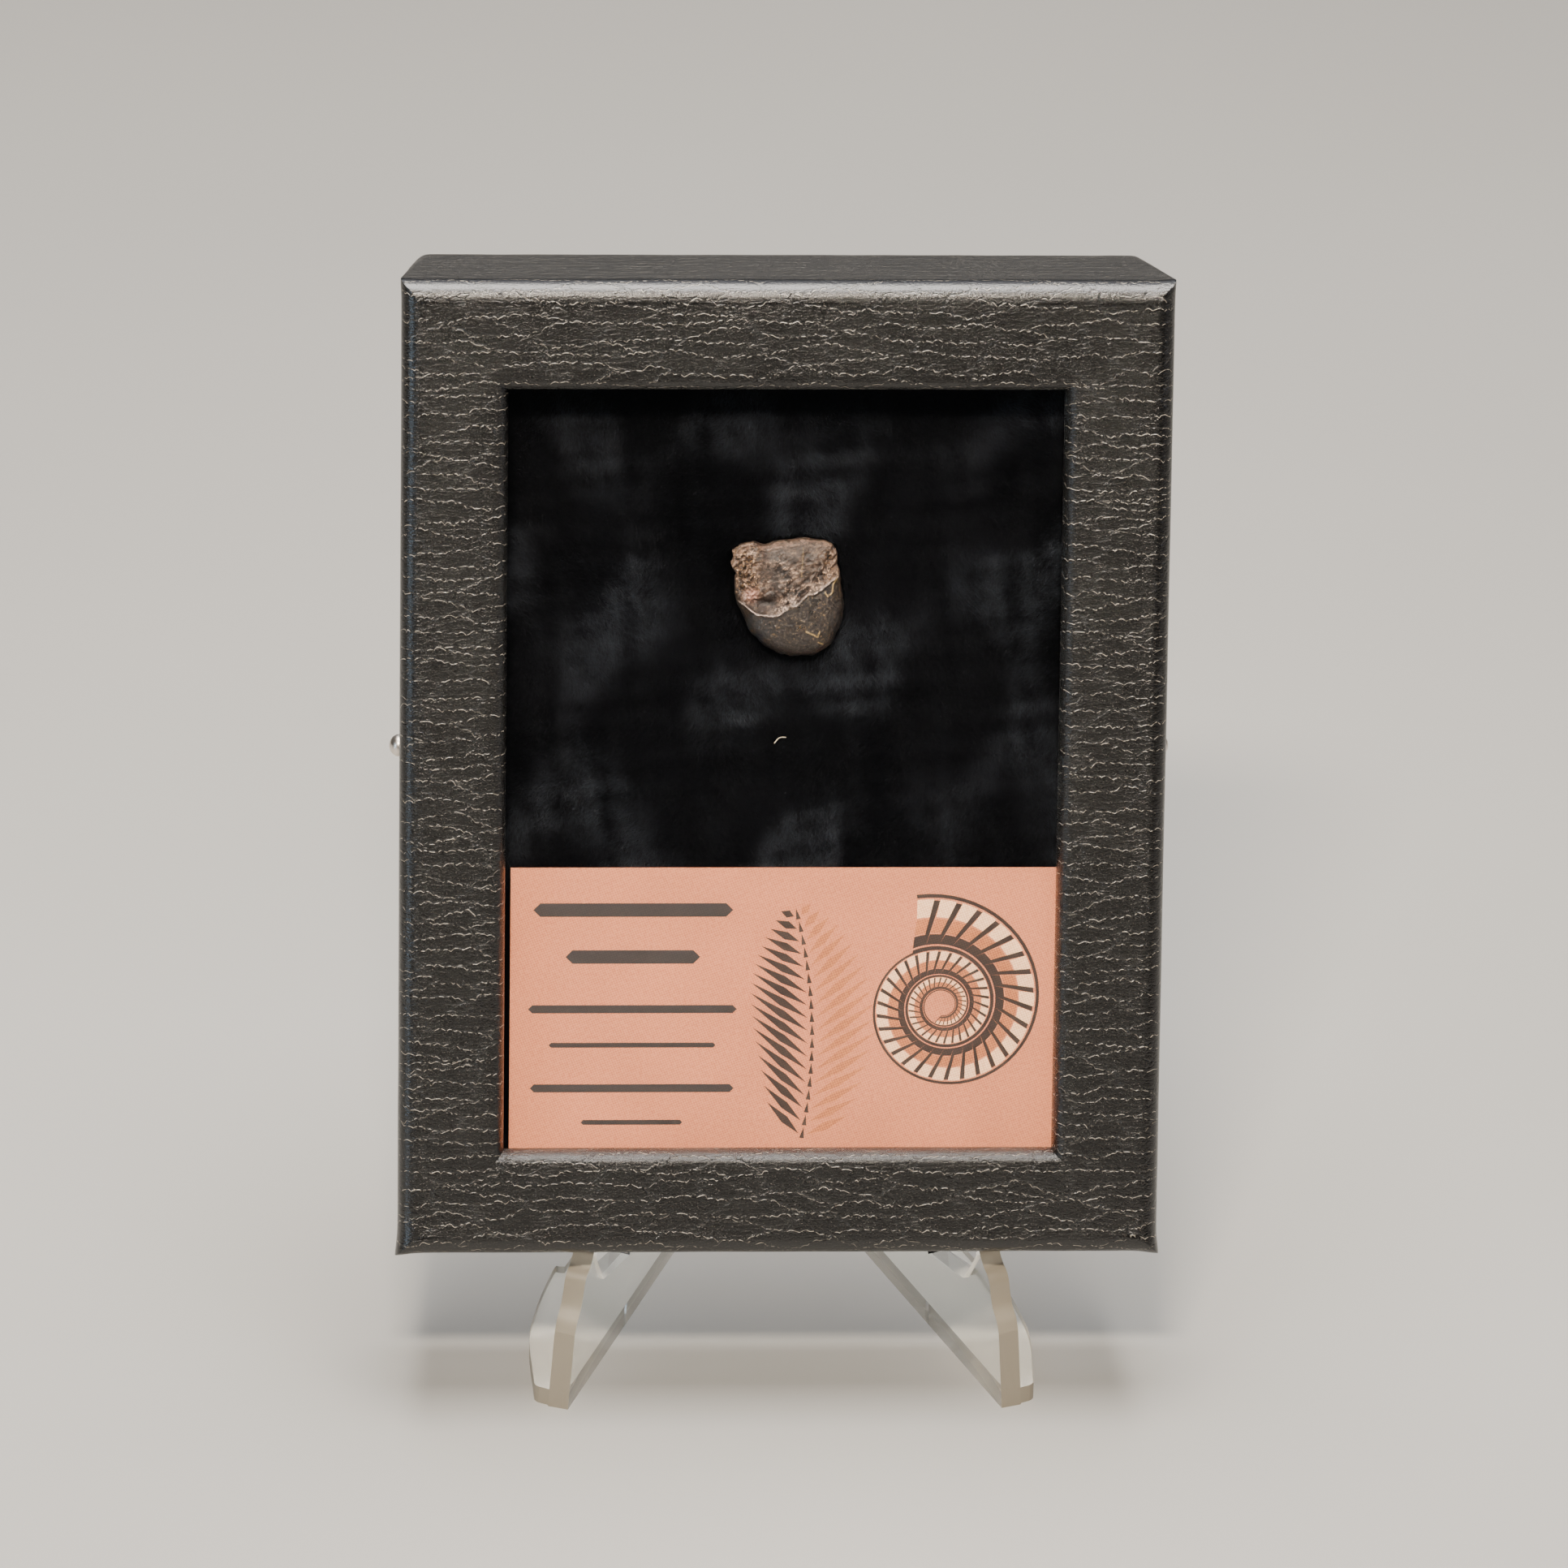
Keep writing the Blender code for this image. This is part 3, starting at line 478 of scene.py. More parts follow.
def fossil_finish():
    """Fossil enamel and dentine: dark brown, speckled, tan where broken, ochre-veined, with painted
    highlights on its crests.
    """
    material, tree, shader = new_finish("fossil_enamel")
    place = add(tree, "TexCoord", output="Object")
    speck, patch, stain = [
        add(tree, "TexNoise", {"Vector": place, "Scale": 1 / size, "Detail": detail, "Roughness": 0.7,
                               "Distortion": warp})
        for size, detail, warp in ((0.28 * MM, 3.0, 0.0), (1.1 * MM, 4.0, 0.0), (0.7 * MM, 3.0, 1.2))]
    names = ("facet", "painted_cool_light", "bowl", "cavity", "broken", "painted_crest_highlight", "rim", "ridge", "flake", "vein")
    marks = {name: add(tree, "Attribute", output="Fac", attribute_name=name) for name in names}
    marks["iron"] = add(tree, "MapRange", {"Value": stain, "From Min": 0.55, "From Max": 0.7, "To Max": 0.6},
                        interpolation_type="SMOOTHSTEP")

    def stained(colour, coats):
        """Lay coats over a colour, each on its mark, as a noise eases it in between two levels."""
        for name, cloud, low, high, most, code in coats:
            share = add(tree, "MapRange", {"Value": cloud, "From Min": low, "From Max": high, "To Max": most},
                        interpolation_type="SMOOTHSTEP")
            share = add(tree, "Math", {0: marks[name], 1: share}, operation="MULTIPLY")
            colour = add(tree, "Mix", {"Factor": share, 6: colour, 7: code}, data_type="RGBA")
        return colour

    enamel = add(tree, "ValToRGB", {"Fac": speck},
                 stops=[(0.34, "#0d0a09"), (0.5, "#1c1714"), (0.62, "#352c25"), (0.74, "#756550")])
    # The lower left of the enamel is tinted blue-grey: a painted reflection of the cool light from the left.
    enamel = stained(enamel, (("iron", speck, 0.45, 0.6, 1.0, "#715629"),
                              ("painted_cool_light", patch, 0.3, 0.6, 0.7, "#1c2024")))
    worn = add(tree, "ValToRGB", {"Fac": patch},
               stops=[(0.32, "#0f0a08"), (0.48, "#291e18"), (0.6, "#45362c"), (0.74, "#7c6654")])
    colour = add(tree, "Mix", {"Factor": marks["facet"], 6: enamel, 7: worn}, data_type="RGBA")
    colour = stained(colour, (("bowl", patch, 0.66, 0.42, 0.85, "#1f1916"),
                              # The cavity is painted near black: a painted shade in its hollow.
                              ("cavity", patch, 0.85, 0.5, 0.95, "#120d0b"),
                              ("broken", stain, 0.45, 0.62, 0.5, "#735a4a"),
                              ("broken", speck, 0.52, 0.66, 0.6, "#7f5c2a"),
                              # The crinkled crests are painted pale: a painted highlight on their tops.
                              ("painted_crest_highlight", speck, 0.42, 0.62, 0.75, "#bb9c82"),
                              ("rim", stain, 0.4, 0.6, 0.45, "#7a6152"),
                              # The ridge line is pale partly in its own colour and partly as a painted
                              # highlight from the glint patch.
                              ("ridge", speck, 0.34, 0.56, 0.85, "#cdb5a6"),
                              ("flake", speck, 0.3, 0.5, 0.85, "#a3786a"),
                              ("vein", speck, 0.3, 0.46, 0.8, "#a98d58")))
    tree.links.new(colour, shader.inputs["Base Color"])

    dull = add(tree, "MapRange", {"Value": marks["facet"], "To Min": 0.17, "To Max": 0.2})
    rough = add(tree, "Math", {0: patch, 1: 0.3, 2: dull}, operation="MULTIPLY_ADD")
    tree.links.new(rough, shader.inputs["Roughness"])
    gloss = add(tree, "MapRange", {"Value": marks["facet"], "To Min": 0.5, "To Max": 0.26})
    tree.links.new(gloss, shader.inputs["Specular IOR Level"])
    bump = add(tree, "Bump", {"Height": speck, "Strength": 1.0, "Distance": 0.1 * MM})
    tree.links.new(bump, shader.inputs["Normal"])
    shader.inputs["IOR"].default_value = 1.6
    return material


# The lid.

def lid_section():
    """The section of a rail, as points of (share from window to rim, offset outward, depth).

    It runs from the back of the panel through the window, over the front and round the lid.
    """
    points = [(0, 0, PANEL_THICKNESS)]
    for step in range(7):
        angle = math.pi / 2 * step / 6
        across = WINDOW_ROUNDING * (1 - math.cos(angle))
        points.append((0, across, WINDOW_ROLL * (1 - math.sin(angle))))
    for share in (0.2, 0.35, 0.5, 0.65, 0.8):
        points.append((share, 0, 0))
    for step in range(11):
        angle = math.pi / 2 * step / 10
        across = FRONT_ROUNDING * (math.sin(angle) - 1)
        points.append((1, across, FRONT_ROUNDING * (1 - math.cos(angle))))
    for depth in (3.0, 5.0, 8.0, 11.0, 14.0, 17.0, 18.6):
        points.append((1, 0, depth * MM))
    points += [(1, -0.12 * MM, 18.85 * MM), (1, -0.4 * MM, CASE_DEPTH)]
    points += [(2, -0.3 * MM, CASE_DEPTH), (2, 0, 18.8 * MM), (2, 0, 10.0 * MM), (2, 0, PANEL_THICKNESS)]
    return points


def lid_reach(share, offset, depth, side):
    """How far a point of the section is from the middle of the case, on one of its sides."""
    if side in UPRIGHT_SIDES:
        window = WINDOW_WIDTH / 2 + (LEFT_EASE if side == "left" else 0.0)
        rim, pocket, draw = CASE_WIDTH / 2, POCKET_HALF_WIDTH, SIDE_DRAW
    else:
        window = MIDDLE - (TOP_RAIL if side == "top" else BOTTOM_RAIL)
        rim, pocket, draw = MIDDLE, POCKET_HALF_HEIGHT, END_DRAW
    if share > 1:
        return pocket + offset
    drawn = draw * (depth / CASE_DEPTH) if share == 1 else 0.0
    return window + (rim - window) * share + offset - drawn


def lid_corner(station, corner):
    """Where a station of the section, as (share, offset, depth), lies on the mitre of a corner."""
    across, along = corner
    x = OUTWARD[across] * lid_reach(*station, across)
    z = MIDDLE + OUTWARD[along] * lid_reach(*station, along)
    return Vector((x, station[2], z))


def worked(point, share, depth, side, to_corner):
    """Round the corner between two walls, pinch the folded tips and let the padding swell."""
    radius = WALL_CORNER * (depth / CASE_DEPTH) ** 1.4 * (share == 1)
    if to_corner < radius:
        turn = math.pi / 4 * (1 - to_corner / radius)
        slide = radius * (1 - math.sin(turn)) - to_corner
        inset = radius * (1 - math.cos(turn))
        if side in UPRIGHT_SIDES:
            point.z += math.copysign(slide, MIDDLE - point.z)
            point.x -= OUTWARD[side] * inset
        else:
            point.x += math.copysign(slide, -point.x)
            point.z -= OUTWARD[side] * inset
    if share == 1 and depth < 9 * MM:
        pull = TOP_PINCH if point.z > MIDDLE else BOTTOM_PINCH
        pull *= bell(to_corner, PINCH_REACH) * bell(depth - 0.8 * MM, 4.0 * MM)
        towards = Vector((math.copysign(1, point.x), -0.35, math.copysign(1, point.z - MIDDLE)))
        point += towards.normalized() * float(pull)
    if share <= 1 and depth > 0 or 0 < share < 1:
        swell = 0.06 * MM * wobble(point, 9 * MM, 1.0) + 0.03 * MM * wobble(point, 3 * MM, 2.0)
        if share < 1:
            point.y += swell
        elif side in UPRIGHT_SIDES:
            point.x -= OUTWARD[side] * abs(swell)
        else:
            point.z -= OUTWARD[side] * abs(swell)
    return point


def rail_places(length, near=(0.0, 0.15, 0.32, 0.5, 0.7, 0.9, 1.2, 1.5, 2.0, 2.8, 4.2, 6.0)):
    """Places along a rail, close together at its ends, as shares of its length."""
    ends = [n * MM / length for n in near]
    count = 18
    inner = [ends[-1] + (1 - 2 * ends[-1]) * i / count for i in range(1, count)]
    return ends + inner + [1 - e for e in reversed(ends)]


def lid_piece():
    """The covered lid: padded rails, mitred folds with pinched tips, walls that draw in."""
    section = lid_section()
    unfolded = [0.0]
    for start, end in zip(section, section[1:]):
        run = lid_reach(*end, "left") - lid_reach(*start, "left")
        unfolded.append(unfolded[-1] + math.hypot(run, end[2] - start[2]))
    anchor = next(index for index, station in enumerate(section) if station[0] == 0.5)

    def on_sheet(index, side, point):
        """The place in mm on the flat covering sheet, of a point at a station of one side."""
        reach = unfolded[index] - unfolded[anchor] + lid_reach(*section[anchor], side)
        edge = OUTWARD[side] * reach / MM
        if side in UPRIGHT_SIDES:
            return edge, point.z / MM
        return point.x / MM, MIDDLE / MM + edge

    bm = bmesh.new()
    cover = bm.loops.layers.uv.new("cover")
    seam = bm.verts.layers.float.new("seam")
    stretched = bm.verts.layers.float.new("stretched")
    rings = []
    sheet = {}
    for number, side in enumerate(SIDES):
        start, end = LID_CORNERS[number], LID_CORNERS[(number + 1) % 4]
        length = CASE_HEIGHT if side in UPRIGHT_SIDES else CASE_WIDTH
        for along in rail_places(length)[:-1]:
            to_corner = min(along, 1 - along) * length
            ring = []
            for index, station in enumerate(section):
                share, _, depth = station
                point = lid_corner(station, start).lerp(lid_corner(station, end), along)
                place = on_sheet(index, side, point)
                vertex = bm.verts.new(worked(point, share, depth, side, to_corner))
                vertex[seam] = bell(to_corner, SEAM_HALF_WIDTH) * (share == 1 and depth > 0.2 * MM)
                vertex[stretched] = float(share == 1 and 0.05 * MM < depth < FRONT_ROUNDING)
                sheet[vertex] = place
                ring.append(vertex)
            rings.append((side, ring))

    for (side, ring), (next_side, next_ring) in zip(rings, rings[1:] + rings[:1]):
        for index in range(len(section)):
            following = (index + 1) % len(section)
            face = bm.faces.new((ring[index], next_ring[index], next_ring[following], ring[following]))
            for loop in face.loops:
                place = sheet[loop.vert]
                if next_side != side and loop.vert in next_ring:
                    place = on_sheet(next_ring.index(loop.vert), side, loop.vert.co)
                loop[cover].uv = place
    return piece("lid_cover", mesh_of("lid_cover", bm), [leatherette_finish()],
                 ["lid"], CASE, sharp=50)


def glass_piece():
    """The pane, with its edges taken off."""
    half_width, half_height = POCKET_HALF_WIDTH - GAP, POCKET_HALF_HEIGHT - GAP
    bm = bmesh.new()
    bmesh.ops.create_cube(bm, size=1.0)
    size = Vector((2 * half_width, GLASS_THICKNESS, 2 * half_height))
    bmesh.ops.scale(bm, vec=size, verts=bm.verts)
    bmesh.ops.bevel(bm, geom=bm.edges[:], offset=0.15 * MM, segments=1, affect="EDGES")
    bmesh.ops.translate(bm, vec=(0, GLASS_FRONT + GLASS_THICKNESS / 2, MIDDLE), verts=bm.verts)
    pane = piece("window_pane", mesh_of("window_pane", bm), [glass_finish()],
                 ["glass_pane"], CASE, sharp=10)
    pane.visible_shadow = False


# The card.

# Each tone of the picture, its print's name, and the two close inks that its dots alternate.
INKS = (
    ("ground", "peach_print", "#b97553", "#9c5a3d"),
    ("light", "cream_print", "#e2bb95", "#c99770"),
    ("mid", "brown_print", "#a8683e", "#82492a"),
    ("dark", "umber_print", "#30241e", "#1f1714"),
    ("ink", "charcoal_print", "#2c2725", "#201c1b"),
)
# The plain rules in mm, as (height, length, thickness), and the place across that all are centred on.
RULES = ((37.6, 21.5, 1.5), (32.4, 14.5, 1.5), (26.6, 22.5, 0.9), (22.6, 18.0, 0.55), (17.8, 22.0, 0.9),
         (14.0, 11.0, 0.55))
RULES_MIDDLE = -15.8


def coiled_shell(centre, outer, turns=3.2, growth=1.95, ribs=30):
    """A coiled shell as flat patches of (outline, tone): swept ribs between the lines of a spiral."""
    rate = math.log(growth) / math.tau
    last = turns * math.tau

    def point(angle, inward):
        """A place on the shell: inward 0 is the outer line of the whorl, 1 its inner line."""
        radius = outer * math.exp(rate * (angle - last)) * (1 - inward * (1 - 1 / growth))
        swept = angle + 0.55 + 0.3 * inward * inward
        return (centre[0] + radius * math.cos(swept), centre[1] + radius * math.sin(swept))

    def patch(start, end, low, high, tone):
        outline = [point(start, low), point((start + end) / 2, low), point(end, low), point(end, high),
                   point((start + end) / 2, high), point(start, high)]
        return outline, tone

    patches = []
    count = int(ribs * turns)
    for rib in range(int(ribs * 0.6), count):
        start = last * rib / count
        end = last * (rib + 1) / count
        dark = start + (end - start) * 0.28
        patches += [patch(start, end, 0.0, 0.07, "dark"), patch(start, end, 0.93, 1.0, "dark"),
                    patch(start, dark, 0.12, 0.9, "dark"), patch(dark, end, 0.1, 0.42, "light"),
                    patch(dark, end, 0.45, 0.7, "mid"), patch(dark, end, 0.72, 0.9, "dark")]
    return patches


def rule(left, height, length, thickness):
    """A plain rule as one patch, with slightly rounded ends."""
    half = thickness / 2
    right = left + length
    outline = [(left + half, height - half), (right - half, height - half), (right, height),
               (right - half, height + half), (left + half, height + half), (left, height)]
    return outline, "ink"


def frond(root, heading, length, leaflets, bend):
    """A fern frond as flat patches: narrow leaflets on both sides of a bending stem."""
    patches = []
    x, z = root
    step = length / leaflets
    for number in range(leaflets):
        share = number / leaflets
        angle = heading + bend * share
        along = (math.cos(angle), math.sin(angle))
        off = (-along[1] * 0.01 * length, along[0] * 0.01 * length)
        far = (x + step * 0.86 * along[0], z + step * 0.86 * along[1])
        patches.append(([(x - off[0], z - off[1]), far, (x + off[0], z + off[1])], "dark"))
        size = length * 0.3 * math.sin(math.pi * (0.22 + 0.76 * share))
        wide = length * 0.017
        for side in (-1, 1):
            lean = angle + side * 0.95
            way = (math.cos(lean), math.sin(lean))
            start = (x + side * off[0] * 1.5 + 0.3 * step * along[0],
                     z + side * off[1] * 1.5 + 0.3 * step * along[1])
            tip = (start[0] + size * way[0], start[1] + size * way[1])
            middle = (start[0] + size * 0.45 * way[0], start[1] + size * 0.45 * way[1])
            outline = [start, (middle[0] + wide * way[1], middle[1] - wide * way[0]), tip,
                       (middle[0] - wide * way[1], middle[1] + wide * way[0])]
            patches.append((outline, "mid" if side < 0 else "dark"))
        x += step * along[0]
        z += step * along[1]
    return patches


def card_piece():
    """The label card: a peach print with a coiled shell, a frond and plain rules, all flush."""
    patches = coiled_shell((17.6 * MM, 27.0 * MM), 12.6 * MM)
    patches += frond((2.6 * MM, 12.2 * MM), math.radians(80), 26 * MM, 18, 0.45)
    for height, length, thickness in RULES:
        patches.append(rule((RULES_MIDDLE - length / 2) * MM, height * MM, length * MM, thickness * MM))
    corners = ((CARD_LEFT, CARD_BOTTOM), (CARD_RIGHT, CARD_BOTTOM),
               (CARD_RIGHT, CARD_TOP), (CARD_LEFT, CARD_TOP))
    points = [Vector(corner) / MM for corner in corners]
    faces = [[0, 1, 2, 3]]
    tones = [tone for tone, *_ in INKS]
    owners = [0]
    for outline, tone in patches:
        first = len(points)
        points += [Vector(p) / MM for p in outline]
        faces.append(list(range(first, first + len(outline))))
        owners.append(tones.index(tone))
    flat, _, parts, _, _, sources = delaunay_2d_cdt(points, [], faces, 1, 0.0005)
    bm = bmesh.new()
    printed = bm.loops.layers.uv.new("print")
    front = [bm.verts.new((p.x * MM, CARD_FRONT, p.y * MM)) for p in flat]
    for part, source in zip(parts, sources):
        face = bm.faces.new([front[i] for i in part])
        face.material_index = max((owners[s] for s in source), default=0)
    close_back(bm, 1, CARD_FRONT + CARD_THICKNESS)
    for face in bm.faces:
        for loop in face.loops:
            loop[printed].uv = (loop.vert.co.x / MM, loop.vert.co.z / MM)
    finishes = [print_finish(name, light, dark) for _, name, light, dark in INKS]
    piece("printed_label", mesh_of("printed_label", bm), finishes, ["label_card"], CASE)


# The lining.

# The lint's route over the pile in mm, as (across, height).
LINT_ROUTE = ((-0.75, 55.5), (-0.2, 56.1), (0.5, 56.15))


def plush_depth(across, height):
    """Depth of the lining's face: creases beside the tooth, a hollow round it, level under the card."""
    x, z = across / MM, height / MM
    left_crease = 0.8 * bell(z - 76.0 + 0.12 * x, 3.5) * smooth(-x / 20 + 0.2)
    right_crease = 0.9 * bell(z - 71.5 + 0.45 * (x - 14), 3.5) * smooth(x / 14)
    swell = 0.35 * np.cos(x / 9.0) * np.cos((z - 60.0) / 13.0)
    free = smooth((z - 43.0) / 8.0)
    edge = smooth((abs(x) - 29.0) / 6.0) + smooth((abs(z - 53.5) - 43.0) / 5.0)
    away = np.hypot((x - TOOTH_CENTRE.x / MM) / 6.2, (z - TOOTH_CENTRE.z / MM) / 6.6)
    hollow = 1.2 * bell(np.maximum(0.0, away - 0.95), 0.3)
    return PLUSH_FACE + (left_crease + right_crease + swell) * free * MM + 1.2 * MM * edge + hollow * MM


def outline_radius(angle):
    """Distance from the tooth's middle to its outline, at an angle seen from the front."""
    return between(TOOTH_POLAR, angle)


def beside_tooth(across, height):
    """How far a place on the lining is outside the tooth's outline, and below 0 under the tooth."""
    x, z = across - TOOTH_CENTRE.x, height - TOOTH_CENTRE.z
    return np.hypot(x, z) - outline_radius(np.arctan2(z, x))


def plush_ground():
    """The knitted back of the plush, below the pile, with the bed of the tooth in it."""
    bm = bmesh.new()
    bmesh.ops.create_grid(bm, x_segments=100, y_segments=138, size=0.5)
    close_back(bm, 2, 1.0)
    mesh = mesh_of("plush_ground", bm)
    flat = points_of(mesh)
    across = flat[:, 0] * 2 * PLUSH_HALF_WIDTH
    height = MIDDLE + flat[:, 1] * 2 * PLUSH_HALF_HEIGHT
    depth = plush_depth(across, height) + 1.0 * MM
    x, z = across - TOOTH_CENTRE.x, height - TOOTH_CENTRE.z
    share = np.hypot(x, z) / (outline_radius(np.arctan2(z, x)) + 0.6 * MM)
    bed = TOOTH_CENTRE.y + (TOOTH_BACK + 0.4 * MM) * np.sqrt(np.maximum(0.0, 1 - share ** 3))
    depth = np.where(share < 1, np.maximum(depth, bed), depth)
    depth = np.where(flat[:, 2] > 0.5, PLUSH_BACK, depth)
    set_points(mesh, np.stack((across, depth, height), axis=1))
    mesh = turned_out("plush_ground", mesh)
    mark(mesh, "shade", np.full(len(mesh.vertices), 0.2))
    finish = plush_finish("knitted_plush_back", "#020202", "#040405")
    ground = piece("plush_ground", mesh, [finish], ["plush_lining"], CASE)


def drifting(across, height, size, rng):
    """A smooth random field from about -1 to 1 over the lining, with features of a size in metres."""
    total = 0.0
    for _ in range(7):
        way, phase = rng.uniform(0, math.tau, 2)
        wave = size * rng.uniform(1.2, 3.0)
        total = total + np.sin((across * math.cos(way) + height * math.sin(way)) * math.tau / wave + phase)
    return total / 3.2


def pile(name, low, high, half_width, count, seed, finish):
    """Plush pile between two heights: fibres that taper to both ends and lie along a drifting nap."""
    fields = [np.random.default_rng(number) for number in (31, 32, 33)]
    rng = np.random.default_rng(seed)
    x = rng.uniform(-half_width, half_width, count)
    z = rng.uniform(low, high, count)
    length = rng.uniform(1.3, 2.4, count) * MM
    nap = -1.7 + 1.0 * drifting(x, z, 16 * MM, fields[0]) + 0.45 * drifting(x, z, 4 * MM, fields[1])
    nap = nap + rng.normal(0, 0.3, count)
    curl = rng.normal(0, 0.35, count)
    tuft = drifting(x, z, 2.2 * MM, fields[2])
    # Drifting patches in which the pile's tips are lighter: a painted sheen.
    painted_sheen_patches = smooth(0.35 + drifting(x, z, 9 * MM, fields[2]))
    root = plush_depth(x, z) + 1.3 * MM
    tip_x = x + length * 0.8 * np.cos(nap + curl)
    tip_z = z + length * 0.8 * np.sin(nap + curl)
    lift = rng.uniform(0.55, 1.0, count) - 0.12 * np.clip(tuft, -1, 1)
    top = plush_depth(tip_x, tip_z)
    tip_y = root + (top - root) * np.minimum(lift, 1.0)
    keep = (beside_tooth(x, z) > 0.2 * MM) & (beside_tooth(tip_x, tip_z) > 0.1 * MM)
    middle_x = x + length * 0.4 * np.cos(nap)
    middle_z = z + length * 0.4 * np.sin(nap)
    middle_y = root + (tip_y - root) * 0.72
    wide = rng.uniform(0.022, 0.04, count) * MM
    off_x, off_z = -np.sin(nap) * wide, np.cos(nap) * wide
    off_y = rng.uniform(-0.6, 0.6, count) * wide
    corners = np.stack((np.stack((x, root, z), axis=1),
                        np.stack((middle_x - off_x, middle_y - off_y, middle_z - off_z), axis=1),
                        np.stack((middle_x + off_x, middle_y + off_y, middle_z + off_z), axis=1),
                        np.stack((tip_x, tip_y, tip_z), axis=1)), axis=1)[keep]
    fibres = len(corners)
    first = 4 * np.arange(fibres)[:, None]
    faces = np.concatenate((first + [0, 1, 2], first + [2, 1, 3]), axis=1).reshape(-1, 3)
    mesh = mesh_from(name, corners.reshape(-1, 3).tolist(), faces.tolist())
    # Each fibre is darker at its root, lighter at its tip and lighter still in the sheen patches: a painted
    # shade deep in the pile and a painted sheen on top; the random part and the tufts are the fibres' own
    # tone.
    tone = (np.clip(rng.random(count) * 0.7 + 0.3 * tuft, 0, 1) * (0.12 + 0.88 * painted_sheen_patches ** 2))[keep]
    mark(mesh, "shade", (tone[:, None] * [0.2, 0.6, 0.6, 1.0]).ravel())
    piece(name, mesh, [finish], (), CASE)


def lint_piece():
    """A short pale thread of lint caught on the pile under the tooth."""
    curve = bpy.data.curves.new("lint_thread", "CURVE")
    curve.dimensions = "3D"
    curve.bevel_depth = 0.05 * MM
    curve.bevel_resolution = 2
    curve.use_fill_caps = True
    spline = curve.splines.new("BEZIER")
    spline.bezier_points.add(len(LINT_ROUTE) - 1)
    for point, (x, z) in zip(spline.bezier_points, LINT_ROUTE):
        point.co = (x * MM, plush_depth(x * MM, z * MM) - 0.15 * MM, z * MM)
        point.handle_left_type = point.handle_right_type = "AUTO"
    shape = bpy.data.objects.new("lint_shape", curve)
    bpy.context.scene.collection.objects.link(shape)
    bpy.context.view_layer.update()
    mesh = bpy.data.meshes.new_from_object(shape.evaluated_get(bpy.context.evaluated_depsgraph_get()))
    bpy.data.objects.remove(shape)
    return piece("lint_thread", mesh, [lint_finish()], (), CASE)


# The tooth.

# Fine features of the tooth, in mm from its middle: a loop and two short veins, and a pale line.
VEINS = (
    ((3.9, 0.9), (4.2, 0.4), (4.7, 0.8), (4.8, 1.7), (5.3, 2.3)),
    ((1.9, -3.4), (2.7, -3.8), (3.2, -4.1), (3.4, -3.4)),
    ((3.3, -4.7), (3.8, -5.0)),
)
PALE_LINE = ((1.6, 5.4), (1.5, 3.9), (1.4, 2.4))
FLAKE = (-3.9, 0.4)
WAVY_SPINE = ((-1.1, 3.9), (-0.2, 3.3), (0.1, 2.4), (-0.2, 1.5), (-0.9, 0.6))


def line_distance(x, z, line):
    """Distance from places to a line of points, all in mm."""
    best = np.full(x.shape, 1e9)
    for (ax, az), (bx, bz) in zip(line, line[1:]):
        dx, dz = bx - ax, bz - az
        share = np.clip(((x - ax) * dx + (z - az) * dz) / (dx * dx + dz * dz), 0.0, 1.0)
        best = np.minimum(best, np.hypot(x - ax - share * dx, z - az - share * dz))
    return best


def noise_over(x, z, size, octaves=1, seed=0.0, stretch=1.0, turn=0.0):
    """Noise from about -1 to 1 over places in mm, drawn out along a turned direction."""
    along = (x * math.cos(turn) + z * math.sin(turn)) / (size * stretch)
    across = (z * math.cos(turn) - x * math.sin(turn)) / size
    return np.array([noise.fractal((a, b, seed), 0.7, 2.1, octaves) for a, b in zip(along, across)])


